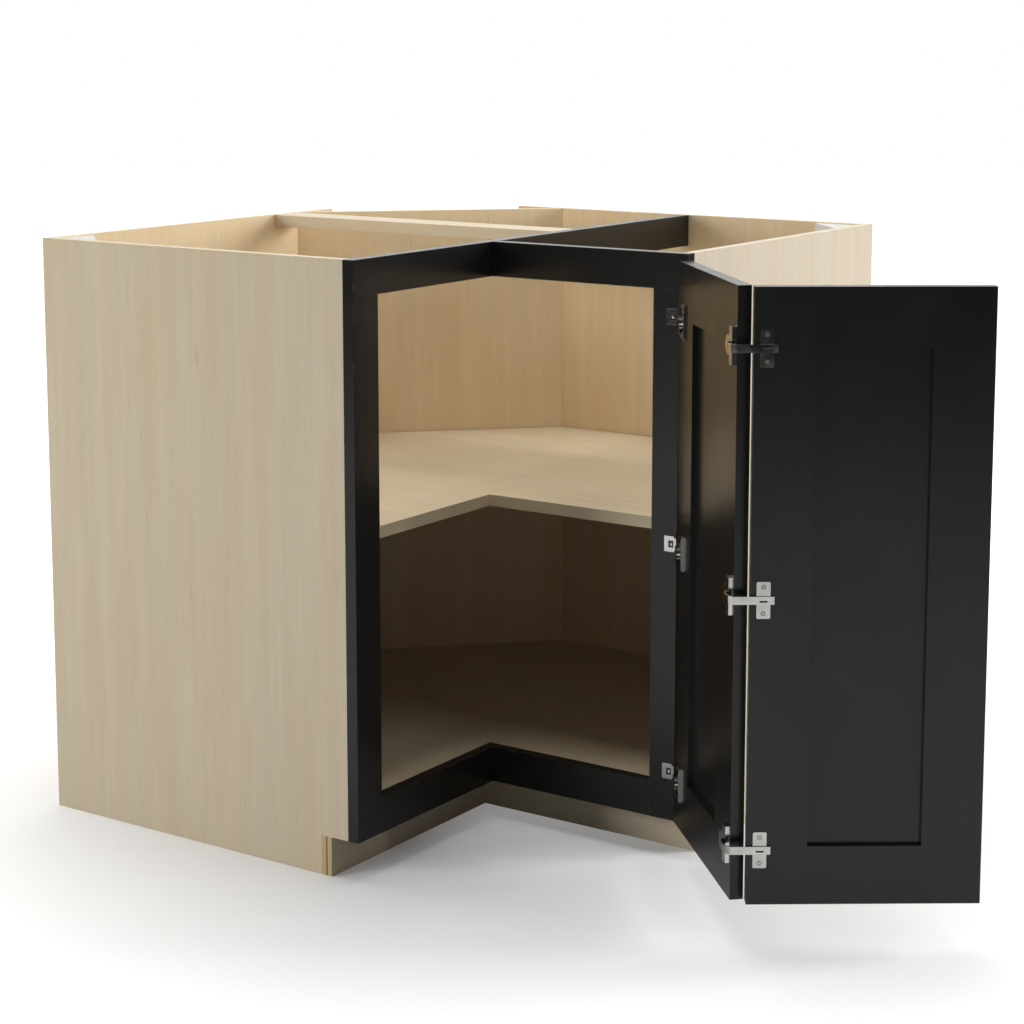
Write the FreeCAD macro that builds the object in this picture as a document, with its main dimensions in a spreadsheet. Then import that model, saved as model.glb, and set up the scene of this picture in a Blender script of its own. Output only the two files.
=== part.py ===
"""Easy reach corner base cabinet: an L-shaped kitchen base unit with a folding pair of doors.

The cabinet stands in a room corner. Its walls lie along X and Y and meet at the origin, on the floor, so the
whole cabinet lies at negative X and Y, with Z up. The pieces are drawn in plan coordinates, in which both
outer end faces lie at zero and the walls at wall_length, with the doors closed. Each piece is then placed by
what carries it: the cabinet, the hinged door or the folding door. Sizes are in millimetres, angles in degrees.
"""
import FreeCAD, Part
import os
import re
from dataclasses import dataclass

import Sketcher

# Driving dimensions: name, size and what it measures.
SIZES = (
    ("wall_length", 914.4, "length of the cabinet along each wall"),
    ("cabinet_height", 876.3, "floor to the top of the frame"),
    ("leg_front", 329.4, "end face of the cabinet to the front of the other leg's face frame"),
    ("frame_thick", 18.0, "face frame board"),
    ("stile_width", 55.0, "face frame stile"),
    ("top_rail_height", 51.0, "face frame top rail"),
    ("bottom_rail_height", 53.0, "face frame bottom rail"),
    ("toe_height", 58.0, "floor to the underside of the face frame"),
    ("toe_setback", 48.0, "front of the face frame to the toe-kick board"),
    ("toe_board", 18.0, "toe-kick board"),
    ("end_thick", 16.0, "end panel"),
    ("back_thick", 12.0, "back panels along the walls"),
    ("back_overrun", 93.6, "diagonal back to the far end of a back panel"),
    ("diagonal_setback", 324.0, "rear corner to the diagonal back, along a back panel"),
    ("diagonal_thick", 12.0, "diagonal back panel"),
    ("deck_thick", 18.0, "bottom panel"),
    ("shelf_top", 494.5, "floor to the top of the shelf"),
    ("shelf_thick", 18.0, "shelf board"),
    ("shelf_gap", 1.5, "clearance round the shelf"),
    ("peg_radius", 2.5, "shelf support peg"),
    ("peg_depth", 8.0, "shelf support peg in its panel"),
    ("support_size", 9.0, "shelf support head, each way"),
    ("support_inset", 80.0, "shelf support from the corner of its panel"),
    ("stretcher_width", 57.0, "flat stretcher under the worktop"),
    ("stretcher_thick", 19.0, "flat stretcher under the worktop"),
    ("stretcher_clear", 2.0, "stretcher to the diagonal back"),
    ("block_leg", 80.0, "corner block along a panel"),
    ("block_height", 22.0, "corner block"),
    ("block_wall", 4.0, "walls and top of a corner block"),
    ("block_drop", 2.0, "top of the cabinet to the top of a corner block"),
    ("worktop_hole_radius", 2.5, "hole for a worktop screw in a corner block"),
    ("door_thick", 18.0, "door boards"),
    ("door_gap", 4.0, "face frame to the back of a closed door"),
    ("door_side_reveal", 3.2, "end face of the cabinet to the edge of a door"),
    ("door_top_reveal", 8.0, "top of the face frame to the top of a door"),
    ("door_bottom_reveal", 8.0, "underside of the face frame to the bottom of a door"),
    ("fold_clear", 1.2, "edge of a door to the fold axis"),
    ("door_stile", 78.0, "door stile"),
    ("door_rail", 78.0, "door rail"),
    ("panel_thick", 5.0, "door panel"),
    ("panel_recess", 8.0, "back of a door to its panel"),
    ("groove_depth", 9.0, "groove for the door panel"),
    ("panel_play", 0.3, "edge of the door panel to the bottom of its groove"),
    ("panel_fit", 0.1, "face of the door panel to the side of its groove"),
    ("door_angle", 134.2, "hinged door, from closed"),
    ("fold_slack", 9.1, "folding door, opened from the right angle of the closed pair"),
    ("hinge_axis_out", 12.0, "face frame to the hinge pin"),
    ("hinge_axis_side", 0.8, "end face of the cabinet to the hinge pin"),
    ("frame_hinge_low", 65.1, "bottom of the door up to the lowest frame hinge"),
    ("frame_hinge_middle", 3.1, "middle of the door down to the middle frame hinge"),
    ("frame_hinge_high", 80.7, "top of the door down to the highest frame hinge"),
    ("plate_thick", 2.0, "frame hinge plate"),
    ("plate_inset", 16.5, "end face of the cabinet to the wide part of the plate"),
    ("plate_width", 16.2, "wide part of the frame hinge plate"),
    ("plate_tall", 22.8, "wide part of the frame hinge plate"),
    ("plate_screw_offset", 2.7, "middle of the frame hinge plate to its screw"),
    ("pocket_width", 8.0, "pocket for the screw head in the frame hinge plate"),
    ("pocket_tall", 9.6, "pocket for the screw head in the frame hinge plate"),
    ("pocket_depth", 1.0, "pocket for the screw head in the frame hinge plate"),
    ("pocket_gap", 1.2, "screw head to the side of its pocket"),
    ("knuckle_radius", 3.2, "hinge knuckle"),
    ("knuckle_half", 3.7, "half the middle knuckle"),
    ("knuckle_gap", 0.3, "between two knuckles"),
    ("ear_tall", 5.0, "outer knuckle and its ear"),
    ("ear_thick", 2.0, "ear that carries an outer knuckle"),
    ("pin_radius", 1.5, "hinge pin"),
    ("pin_fit", 0.05, "hinge pin to its knuckles"),
    ("pin_head_radius", 2.6, "hinge pin head"),
    ("pin_head", 1.2, "hinge pin head"),
    ("cup_radius", 17.4, "hinge cup"),
    ("cup_fit", 0.1, "hinge cup to its bore"),
    ("cup_depth", 11.5, "frame hinge cup"),
    ("cup_wall", 1.2, "frame hinge cup"),
    ("cup_inset", 22.0, "edge of the door to the centre of the frame hinge cup"),
    ("flange_thick", 1.5, "flange of a hinge cup"),
    ("flange_tall", 49.0, "flange of a hinge cup"),
    ("flange_width", 36.0, "flange of a frame hinge cup"),
    ("flange_screws", 41.4, "between the two screws of a cup flange"),
    ("lip_width", 1.6, "raised lip of a frame hinge cup"),
    ("lip_tall", 45.0, "raised lip of a frame hinge cup"),
    ("lip_rise", 3.6, "back of the door to the top of the lip"),
    ("fold_hinge_low", 73.5, "bottom of the door up to the lowest fold hinge"),
    ("fold_hinge_middle", 1.9, "middle of the door up to the middle fold hinge"),
    ("fold_hinge_high", 77.3, "top of the door down to the highest fold hinge"),
    ("fold_cup_radius", 13.0, "fold hinge cup"),
    ("fold_cup_depth", 13.0, "fold hinge cup"),
    ("fold_flange_thick", 6.0, "flange of a fold hinge cup"),
    ("fold_flange_width", 14.0, "flange of a fold hinge cup"),
    ("fold_flange_edge", 3.0, "edge of the hinged door to the flange of a fold hinge cup"),
    ("fold_plate_inset", 7.7, "edge of the folding door to the fold hinge plate"),
    ("fold_plate_width", 17.8, "fold hinge plate"),
    ("fold_plate_tall", 48.0, "fold hinge plate"),
    ("fold_plate_thick", 1.5, "fold hinge plate"),
    ("fold_plate_corner", 2.0, "rounded corner of a fold hinge plate"),
    ("fold_plate_screws", 34.4, "between the two screws of a fold hinge plate"),
    ("arm_thick", 2.0, "fold hinge arm"),
    ("arm_tall", 10.5, "fold hinge arm"),
    ("arm_tail", 30.4, "edge of the folding door to the tail of the arm"),
    ("arm_end_angle", 64.8, "fold hinge arm from square to its end, doors closed"),
    ("arm_play", 0.25, "fold hinge arm to its slot"),
    ("arm_slot_drop", 1.2, "middle of the fold hinge arm to its slot"),
    ("arm_slot_length", 10.2, "slot in the fold hinge arm"),
    ("arm_slot_width", 2.0, "slot in the fold hinge arm"),
    ("screw_radius", 1.75, "hinge screw"),
    ("screw_head_radius", 3.2, "hinge screw head"),
    ("screw_length", 11.0, "hinge screw below its plate"),
    ("screw_fit", 0.05, "screw to its hole"),
    ("screw_end_play", 0.3, "screw tip to the bottom of its hole"),
    ("block_screw_length", 9.0, "corner block screw in its panel"),
    ("block_screw_head", 2.0, "corner block screw head"),
    ("overcut", 2.0, "how far a cutting shape reaches past the face it opens"),
)

# Places worked out from the driving dimensions.
PLACES = {
    "frame_back": "leg_front + frame_thick",
    "rail_low": "cabinet_height - top_rail_height",
    "deck_top": "toe_height + bottom_rail_height",
    "deck_low": "deck_top - deck_thick",
    "back_face": "wall_length - back_thick",
    "diagonal_start": "back_face - diagonal_setback",
    "diagonal_back": "diagonal_start + diagonal_thick * sqrt(2)",
    "back_end": "diagonal_start + back_overrun",
    "toe_front": "leg_front + toe_setback",
    "toe_back": "toe_front + toe_board",
    "shelf_front": "frame_back + shelf_gap",
    "shelf_side": "end_thick + shelf_gap",
    "shelf_back": "back_face - shelf_gap",
    "shelf_diagonal": "diagonal_start - (sqrt(2) - 1) * shelf_gap",
    "shelf_low": "shelf_top - shelf_thick",
    "peg_height": "shelf_low - support_size / 2",
    "stretcher_back": "diagonal_start - stretcher_clear",
    "block_top": "cabinet_height - block_drop",
    "block_low": "block_top - block_height",
    "block_screw_height": "block_low + (block_height - block_wall) / 2",
    "door_back": "leg_front - door_gap",
    "fold_line": "door_back - door_thick",
    "door_edge": "fold_line - fold_clear",
    "door_low": "toe_height + door_bottom_reveal",
    "door_high": "cabinet_height - door_top_reveal",
    "door_middle": "(door_low + door_high) / 2",
    "groove_front": "door_back - panel_recess - panel_thick - panel_fit",
    "groove_back": "door_back - panel_recess + panel_fit",
    "axis_out": "leg_front - hinge_axis_out",
    "axis_side": "-hinge_axis_side",
    "ear_low": "knuckle_half + knuckle_gap",
    "ear_high": "ear_low + ear_tall",
    "cup_centre": "door_side_reveal + cup_inset",
    "flange_back": "door_back + flange_thick",
    "plate_face": "leg_front - plate_thick",
    "pocket_floor": "plate_face + pocket_depth",
    "plate_screw_side": "plate_inset + plate_width / 2 - plate_screw_offset",
    "lip_side": "cup_centre + flange_width / 2",
    "bend_rise": "door_thick + fold_plate_thick + arm_thick / 2",
    "arm_radius": "bend_rise * sqrt(2)",
    "fold_cup_centre": "fold_line - sqrt(arm_radius ^ 2 - door_thick ^ 2) - arm_thick / 2",
    "fold_flange_back": "door_back + fold_flange_thick",
    "fold_flange_side": "door_edge - fold_flange_edge",
    "fold_flange_centre": "fold_flange_side - fold_flange_width / 2",
    "fold_plate_edge": "door_edge - fold_plate_inset",
    "fold_plate_centre": "fold_plate_edge - fold_plate_width / 2",
    "arm_low": "door_back + fold_plate_thick",
}

# Heights of the hinges, measured from the ends and the middle of the doors.
FRAME_HINGES = {
    "top": "(door_high - frame_hinge_high)",
    "middle": "(door_middle - frame_hinge_middle)",
    "bottom": "(door_low + frame_hinge_low)",
}
FOLD_HINGES = {
    "top": "(door_high - fold_hinge_high)",
    "middle": "(door_middle + fold_hinge_middle)",
    "bottom": "(door_low + fold_hinge_low)",
}

# Turns that point a cylinder or cone, drawn along Z, the named way.
TURNS = {
    "+x": FreeCAD.Rotation(FreeCAD.Vector(0, 1, 0), 90),
    "-x": FreeCAD.Rotation(FreeCAD.Vector(0, 1, 0), -90),
    "+y": FreeCAD.Rotation(FreeCAD.Vector(1, 0, 0), -90),
    "-y": FreeCAD.Rotation(FreeCAD.Vector(1, 0, 0), 90),
    "+z": FreeCAD.Rotation(),
}
OPPOSITE = {"+x": "-x", "-x": "+x", "+y": "-y", "-y": "+y"}

doc = FreeCAD.newDocument("corner_base_cabinet")
sheet = doc.addObject("Spreadsheet::Sheet", "Sizes")
for row, (alias, size, meaning) in enumerate(SIZES, start=1):
    sheet.set(f"A{row}", meaning)
    sheet.set(f"B{row}", str(size))
    sheet.setAlias(f"B{row}", alias)
doc.recompute()

PLACE_WORDS = re.compile(r"\b(" + "|".join(PLACES) + r")\b")
SIZE_WORDS = re.compile(r"\b(" + "|".join(alias for alias, _, _ in SIZES) + r")\b")
pieces = []


def tie(text):
    """Turns words for sizes and places into an expression on the sheet's cells."""
    while PLACE_WORDS.search(text):
        text = PLACE_WORDS.sub(lambda found: f"({PLACES[found.group(1)]})", text)
    return SIZE_WORDS.sub(r"Sizes.\1", text)


def bind(item, **properties):
    """Ties properties of an object to the sheet; a double underscore stands for a dot."""
    for name, text in properties.items():
        item.setExpression(name.replace("__", "."), tie(text))


@dataclass(frozen=True)
class Carrier:
    """What carries a piece: where its own origin lies in plan, where that goes and how far it turns."""

    origin_x: str
    origin_y: str
    base_x: str
    base_y: str
    angle: str

    def local(self, x, y):
        """Plan coordinates, doors closed, as coordinates about this carrier's origin."""
        return f"({x}) - ({self.origin_x})", f"({y}) - ({self.origin_y})"


CABINET = Carrier("0", "0", "-wall_length", "-wall_length", "0")
HINGED = Carrier("axis_out", "axis_side", "axis_out - wall_length", "axis_side - wall_length", "door_angle")
FOLD_FROM_PIN_X = "(fold_line - axis_out)"
FOLD_FROM_PIN_Y = "(fold_line - axis_side)"
FOLDING = Carrier(
    "fold_line",
    "fold_line",
    f"axis_out - wall_length + cos(door_angle) * {FOLD_FROM_PIN_X} - sin(door_angle) * {FOLD_FROM_PIN_Y}",
    f"axis_side - wall_length + sin(door_angle) * {FOLD_FROM_PIN_X} + cos(door_angle) * {FOLD_FROM_PIN_Y}",
    "door_angle - fold_slack",
)


def block(carrier, x_range, y_range, z_range):
    """A box between two plan coordinates each way."""
    item = doc.addObject("Part::Box", "block")
    x_low, y_low = carrier.local(x_range[0], y_range[0])
    spans = [f"({high}) - ({low})" for low, high in (x_range, y_range, z_range)]
    bind(item, Length=spans[0], Width=spans[1], Height=spans[2])
    bind(item, Placement__Base__x=x_low, Placement__Base__y=y_low, Placement__Base__z=z_range[0])
    return item


def aim(item, carrier, point, way):
    """Points a round shape from a plan point, the named way."""
    item.Placement = FreeCAD.Placement(FreeCAD.Vector(), TURNS[way])
    x, y = carrier.local(point[0], point[1])
    bind(item, Placement__Base__x=x, Placement__Base__y=y, Placement__Base__z=point[2])


def rod(carrier, point, way, radius, length):
    """A cylinder from a plan point, the named way."""
    item = doc.addObject("Part::Cylinder", "rod")
    bind(item, Radius=radius, Height=length)
    aim(item, carrier, point, way)
    return item


def taper(carrier, point, way, start_radius, end_radius, length):
    """A cone from a plan point, the named way."""
    item = doc.addObject("Part::Cone", "taper")
    bind(item, Radius1=start_radius, Radius2=end_radius, Height=length)
    aim(item, carrier, point, way)
    return item


def shift(point, way, distance):
    """A plan point moved by a distance, the named way."""
    moved = list(point)
    index = "xyz".index(way[1])
    moved[index] = f"({point[index]}) {way[0]} ({distance})"
    return tuple(moved)


def around(centre, half):
    """A range of the given half length about a centre."""
    return f"({centre}) - ({half})", f"({centre}) + ({half})"


def joined(items):
    """Shapes fused to one solid."""
    item = doc.addObject("Part::MultiFuse", "joined")
    item.Shapes = list(items)
    item.Refine = True
    return item


def outline_body(carrier, points, low, high, plane="XY_Plane"):
    """A board cut to an outline: points are drawn in the plane, and low and high lie across it."""
    body = doc.addObject("PartDesign::Body", "board")
    sketch = body.newObject("Sketcher::SketchObject", "outline")
    support = next(item for item in body.Origin.OriginFeatures if item.Role == plane)
    sketch.AttachmentSupport = (support, [""])
    sketch.MapMode = "FlatFace"
    # The normal of the XZ plane points along -Y, so a board there is drawn on its far side.
    start = f"-({high})" if plane == "XZ_Plane" else low
    bind(sketch, AttachmentOffset__Base__z=start)
    ties = [carrier.local(*point) if plane == "XY_Plane" else point for point in points]
    corners = [FreeCAD.Vector(*(float(sheet.evalExpression(tie(text))) for text in pair)) for pair in ties]
    count = len(corners)
    for index, corner in enumerate(corners):
        sketch.addGeometry(Part.LineSegment(corner, corners[(index + 1) % count]))
    for index, pair in enumerate(ties):
        sketch.addConstraint(Sketcher.Constraint("Coincident", index, 2, (index + 1) % count, 1))
        for kind, text, place in zip(("DistanceX", "DistanceY"), pair, corners[index]):
            number = sketch.addConstraint(Sketcher.Constraint(kind, -1, 1, index, 1, place))
            sketch.setExpression(f"Constraints[{number}]", tie(text))
    pad = body.newObject("PartDesign::Pad", "thickness")
    pad.Profile = sketch
    bind(pad, Length=f"({high}) - ({low})")
    return body


def rectangle(x_range, y_range):
    """The four corners of a rectangle."""
    (x_low, x_high), (y_low, y_high) = x_range, y_range
    return [(x_low, y_low), (x_high, y_low), (x_high, y_high), (x_low, y_high)]


def board(carrier, x_range, y_range, z_range):
    """A plain rectangular board."""
    return outline_body(carrier, rectangle(x_range, y_range), *z_range)


def keep(label, carrier, item):
    """Names a finished piece and places it by its carrier."""
    item.Label = label
    item.Placement = FreeCAD.Placement(FreeCAD.Vector(), FreeCAD.Rotation(FreeCAD.Vector(0, 0, 1), 1))
    bind(item, Placement__Base__x=carrier.base_x, Placement__Base__y=carrier.base_y)
    bind(item, Placement__Rotation__Angle=carrier.angle)
    pieces.append(item)


def keep_cut(label, carrier, blank, tools):
    """Names a finished piece made from a blank by cutting."""
    item = doc.addObject("Part::Cut", "cut")
    item.Base = blank
    item.Tool = joined(tools) if len(tools) > 1 else tools[0]
    keep(label, carrier, item)


def keep_group(label, carrier, items):
    """Names a group of separate like pieces."""
    item = doc.addObject("Part::Compound", "group")
    item.Links = list(items)
    keep(label, carrier, item)


@dataclass(frozen=True)
class Screw:
    """A countersunk screw whose head lies flush with the face that it enters."""

    carrier: Carrier
    point: tuple
    way: str
    sheet_thick: str

    def shape(self, grow="0", deeper="0"):
        """The screw itself, or its hole when it is grown by a clearance."""
        head = taper(
            self.carrier,
            self.point,
            self.way,
            f"screw_head_radius + {grow}",
            f"screw_radius + {grow}",
            self.sheet_thick,
        )
        shank = rod(
            self.carrier,
            shift(self.point, self.way, self.sheet_thick),
            self.way,
            f"screw_radius + {grow}",
            f"screw_length + {deeper}",
        )
        return joined([head, shank])

    def hole(self):
        """The hole for this screw."""
        return self.shape("screw_fit", "screw_end_play")


@dataclass(frozen=True)
class StileScrew:
    """A square-headed screw, sunk in a pocket of a frame hinge plate."""

    height: str

    def pocket(self):
        """The pocket for the head, open at the face of the plate."""
        side = around("plate_screw_side", "pocket_width / 2")
        tall = around(self.height, "pocket_tall / 2")
        return block(CABINET, ("plate_face - overcut", "pocket_floor"), side, tall)

    def shank(self, grow="0", deeper="0"):
        """The shank from the floor of the pocket into the stile."""
        start = ("pocket_floor", "plate_screw_side", self.height)
        length = f"leg_front - pocket_floor + screw_length + {deeper}"
        return rod(CABINET, start, "+x", f"screw_radius + {grow}", length)

    def shape(self):
        """The screw itself."""
        side = around("plate_screw_side", "pocket_width / 2 - pocket_gap")
        tall = around(self.height, "pocket_tall / 2 - pocket_gap")
        head = block(CABINET, ("plate_face", "pocket_floor"), side, tall)
        return joined([head, self.shank()])

    def hole(self):
        """The hole for the shank."""
        return self.shank("screw_fit", "screw_end_play")


def make_face_frame(hinge_screws):
    """The black face frame: two stiles, two top rails and two bottom rails."""
    front = ("leg_front", "frame_back")
    stile = ("0", "stile_width")
    upright = ("toe_height", "rail_low")
    top = ("rail_low", "cabinet_height")
    bottom = ("toe_height", "deck_top")
    keep("left_stile", CABINET, board(CABINET, stile, front, upright))
    blank = block(CABINET, front, stile, upright)
    keep_cut("right_stile", CABINET, blank, [screw.hole() for screw in hinge_screws])
    keep("left_top_rail", CABINET, board(CABINET, ("0", "back_face"), front, top))
    keep("right_top_rail", CABINET, board(CABINET, front, ("0", "leg_front"), top))
    keep("left_bottom_rail", CABINET, board(CABINET, ("stile_width", "frame_back"), front, bottom))
    keep("right_bottom_rail", CABINET, board(CABINET, front, ("stile_width", "leg_front"), bottom))


def end_outline():
    """Side view of an end panel, from the back of the face frame to the wall, with its toe notch."""
    return [
        ("frame_back", "toe_height"),
        ("toe_back", "toe_height"),
        ("toe_back", "0"),
        ("wall_length", "0"),
        ("wall_length", "cabinet_height"),
        ("frame_back", "cabinet_height"),
    ]


def toe_outline(far_end):
    """Front view of a toe-kick board: it covers the notch edge and rises to the bottom panel inside."""
    return [
        ("0", "0"),
        (far_end, "0"),
        (far_end, "deck_low"),
        ("end_thick", "deck_low"),
        ("end_thick", "toe_height"),
        ("0", "toe_height"),
    ]


def floor_outline(front, side, back, diagonal):
    """Plan of the bottom panel or the shelf: an L in front, cut off along the diagonal back."""
    return [
        (side, front),
        (front, front),
        (front, side),
        (back, side),
        (back, diagonal),
        (diagonal, back),
        (side, back),
    ]


# Where the six shelf supports stand: the face they are fixed to, and the way into the panel.
SUPPORTS = {
    "left_end_front": (("end_thick", "frame_back + support_inset"), "-x"),
    "left_end_rear": (("end_thick", "back_face - support_inset"), "-x"),
    "right_end_front": (("frame_back + support_inset", "end_thick"), "-y"),
    "right_end_rear": (("back_face - support_inset", "end_thick"), "-y"),
    "left_back": (("diagonal_start - support_inset", "back_face"), "+y"),
    "right_back": (("back_face", "diagonal_start - support_inset"), "+x"),
}


def peg_holes(*names):
    """Holes for the named shelf supports."""
    holes = []
    for name in names:
        (x, y), way = SUPPORTS[name]
        start = shift((x, y, "peg_height"), OPPOSITE[way], "overcut")
        length = "peg_depth + overcut + screw_end_play"
        holes.append(rod(CABINET, start, way, "peg_radius + screw_fit", length))
    return holes


def shelf_support(name):
    """A peg with a square head, whose top carries the shelf."""
    (x, y), way = SUPPORTS[name]
    peg = rod(CABINET, (x, y, "peg_height"), way, "peg_radius", "peg_depth")
    half = "support_size / 2"
    ranges = {"x": (f"{x} - {half}", f"{x} + {half}"), "y": (f"{y} - {half}", f"{y} + {half}")}
    face = {"x": x, "y": y}[way[1]]
    inner = (face, f"{face} + support_size") if way[0] == "-" else (f"{face} - support_size", face)
    ranges[way[1]] = inner
    head = block(CABINET, ranges["x"], ranges["y"], ("shelf_low - support_size", "shelf_low"))
    return joined([peg, head])


def make_carcass(block_screws):
    """Panels, shelf, toe-kick and stretcher."""
    tall = ("0", "cabinet_height")
    wall = ("back_face", "wall_length")
    run = ("end_thick", "back_end")
    block_holes = {name: screw.hole() for name, screw in block_screws.items()}

    left_end = outline_body(CABINET, end_outline(), "0", "end_thick", "YZ_Plane")
    left_holes = peg_holes("left_end_front", "left_end_rear") + [block_holes["left_end"]]
    keep_cut("left_end_panel", CABINET, left_end, left_holes)
    right_end = outline_body(CABINET, end_outline(), "0", "end_thick", "XZ_Plane")
    right_holes = peg_holes("right_end_front", "right_end_rear") + [block_holes["right_end"]]
    keep_cut("right_end_panel", CABINET, right_end, right_holes)

    left_back = block(CABINET, run, wall, tall)
    keep_cut("left_back_panel", CABINET, left_back, peg_holes("left_back") + [block_holes["left_back"]])
    right_back = block(CABINET, wall, run, tall)
    keep_cut("right_back_panel", CABINET, right_back, peg_holes("right_back") + [block_holes["right_back"]])
    diagonal = [
        ("diagonal_start", "back_face"),
        ("back_face", "diagonal_start"),
        ("back_face", "diagonal_back"),
        ("diagonal_back", "back_face"),
    ]
    keep("diagonal_back_panel", CABINET, outline_body(CABINET, diagonal, *tall))

    deck = floor_outline("frame_back", "end_thick", "back_face", "diagonal_start")
    keep("bottom_panel", CABINET, outline_body(CABINET, deck, "deck_low", "deck_top"))
    shelf = floor_outline("shelf_front", "shelf_side", "shelf_back", "shelf_diagonal")
    keep("shelf", CABINET, outline_body(CABINET, shelf, "shelf_low", "shelf_top"))
    keep_group("shelf_supports", CABINET, [shelf_support(name) for name in SUPPORTS])

    left_toe = outline_body(CABINET, toe_outline("toe_back"), "toe_front", "toe_back", "XZ_Plane")
    keep("left_toe_kick", CABINET, left_toe)
    right_toe = outline_body(CABINET, toe_outline("toe_front"), "toe_front", "toe_back", "YZ_Plane")
    keep("right_toe_kick", CABINET, right_toe)

    across = ("stretcher_back - stretcher_width", "stretcher_back")
    level = ("cabinet_height - stretcher_thick", "cabinet_height")
    keep("worktop_stretcher", CABINET, board(CABINET, across, ("frame_back", "back_face"), level))


@dataclass(frozen=True)
class BlockScrew:
    """A pan-head screw through the wall of a corner block into a panel."""

    point: tuple
    way: str

    def shape(self):
        """The screw itself, its head against the inside of the block's wall."""
        head = rod(CABINET, self.point, self.way, "screw_head_radius", "block_screw_head")
        start = shift(self.point, self.way, "block_screw_head")
        shank = rod(CABINET, start, self.way, "screw_radius", "block_wall + block_screw_length")
        return joined([head, shank])

    def hole(self):
        """The hole for this screw, through the wall and into the panel."""
        start = shift(self.point, self.way, "block_screw_head - screw_end_play")
        length = "block_wall + block_screw_length + 2 * screw_end_play"
        return rod(CABINET, start, self.way, "screw_radius + screw_fit", length)


def block_screw_places():
    """The four corner block screws, by the panel that they enter."""
    reach = "block_wall + block_screw_head"
    height = "block_screw_height"
    return {
        "left_end": BlockScrew((f"end_thick + {reach}", "back_face - block_leg / 2", height), "-x"),
        "left_back": BlockScrew(("end_thick + block_leg / 2", f"back_face - ({reach})", height), "+y"),
        "right_end": BlockScrew(("back_face - block_leg / 2", f"end_thick + {reach}", height), "-y"),
        "right_back": BlockScrew((f"back_face - ({reach})", "end_thick + block_leg / 2", height), "+x"),
    }


def corner_triangle(corner, signs, inset, leg):
    """A right triangle in plan whose legs run from a corner along both panels."""
    (x, y), (sign_x, sign_y) = corner, signs
    near_x, near_y = f"{x} {sign_x} ({inset})", f"{y} {sign_y} ({inset})"
    return [
        (near_x, near_y),
        (f"{near_x} {sign_x} ({leg})", near_y),
        (near_x, f"{near_y} {sign_y} ({leg})"),
    ]


def make_corner_blocks(screws):
    """Hollow triangular blocks in the rear top corners, each with a hole for a worktop screw."""
    corners = {
        "left": (("end_thick", "back_face"), ("+", "-")),
        "right": (("back_face", "end_thick"), ("-", "+")),
    }
    inner_leg = "block_leg - (2 + sqrt(2)) * block_wall"
    hole_offset = "block_wall + block_leg / 4"
    for side, (corner, signs) in corners.items():
        outer = corner_triangle(corner, signs, "0", "block_leg")
        inner = corner_triangle(corner, signs, "block_wall", inner_leg)
        hollow = outline_body(CABINET, inner, "block_low - overcut", "block_top - block_wall")
        at_x, at_y = corner_triangle(corner, signs, hole_offset, "0")[0]
        foot = (at_x, at_y, "block_low")
        top_hole = rod(CABINET, foot, "+z", "worktop_hole_radius", "block_height + overcut")
        tools = [hollow, top_hole, screws[f"{side}_end"].hole(), screws[f"{side}_back"].hole()]
        blank = outline_body(CABINET, outer, "block_low", "block_top")
        keep_cut(f"{side}_corner_block", CABINET, blank, tools)
    keep_group("corner_block_screws", CABINET, [screw.shape() for screw in screws.values()])


def pin_bore(carrier, height):
    """The bore for a hinge pin, through all its knuckles."""
    start = ("axis_out", "axis_side", f"{height} - ear_high - overcut")
    return rod(carrier, start, "+z", "pin_radius + pin_fit", "2 * (ear_high + overcut)")


def hinge_pin(height):
    """A hinge pin with a head at each end."""
    x, y = "axis_out", "axis_side"
    shaft = rod(CABINET, (x, y, f"{height} - ear_high"), "+z", "pin_radius", "2 * ear_high")
    upper = rod(CABINET, (x, y, f"{height} + ear_high"), "+z", "pin_head_radius", "pin_head")
    lower = rod(CABINET, (x, y, f"{height} - ear_high - pin_head"), "+z", "pin_head_radius", "pin_head")
    return joined([shaft, upper, lower])


def frame_hinge_plate(label, height, screw):
    """The stile's half of a frame hinge: a plate, a tongue, two ears and the outer knuckles."""
    sheet_range = ("plate_face", "leg_front")
    wide = ("plate_inset", "plate_inset + plate_width")
    ear_side = ("axis_side - knuckle_radius", "axis_side - knuckle_radius + ear_thick")
    shapes = [
        block(CABINET, sheet_range, wide, around(height, "plate_tall / 2")),
        block(CABINET, sheet_range, (ear_side[0], "plate_inset"), around(height, "ear_high")),
    ]
    for low in (f"{height} + ear_low", f"{height} - ear_high"):
        shapes.append(block(CABINET, ("axis_out", "leg_front"), ear_side, (low, f"{low} + ear_tall")))
        shapes.append(rod(CABINET, ("axis_out", "axis_side", low), "+z", "knuckle_radius", "ear_tall"))
    keep_cut(label, CABINET, joined(shapes), [pin_bore(CABINET, height), screw.pocket(), screw.hole()])


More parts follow.
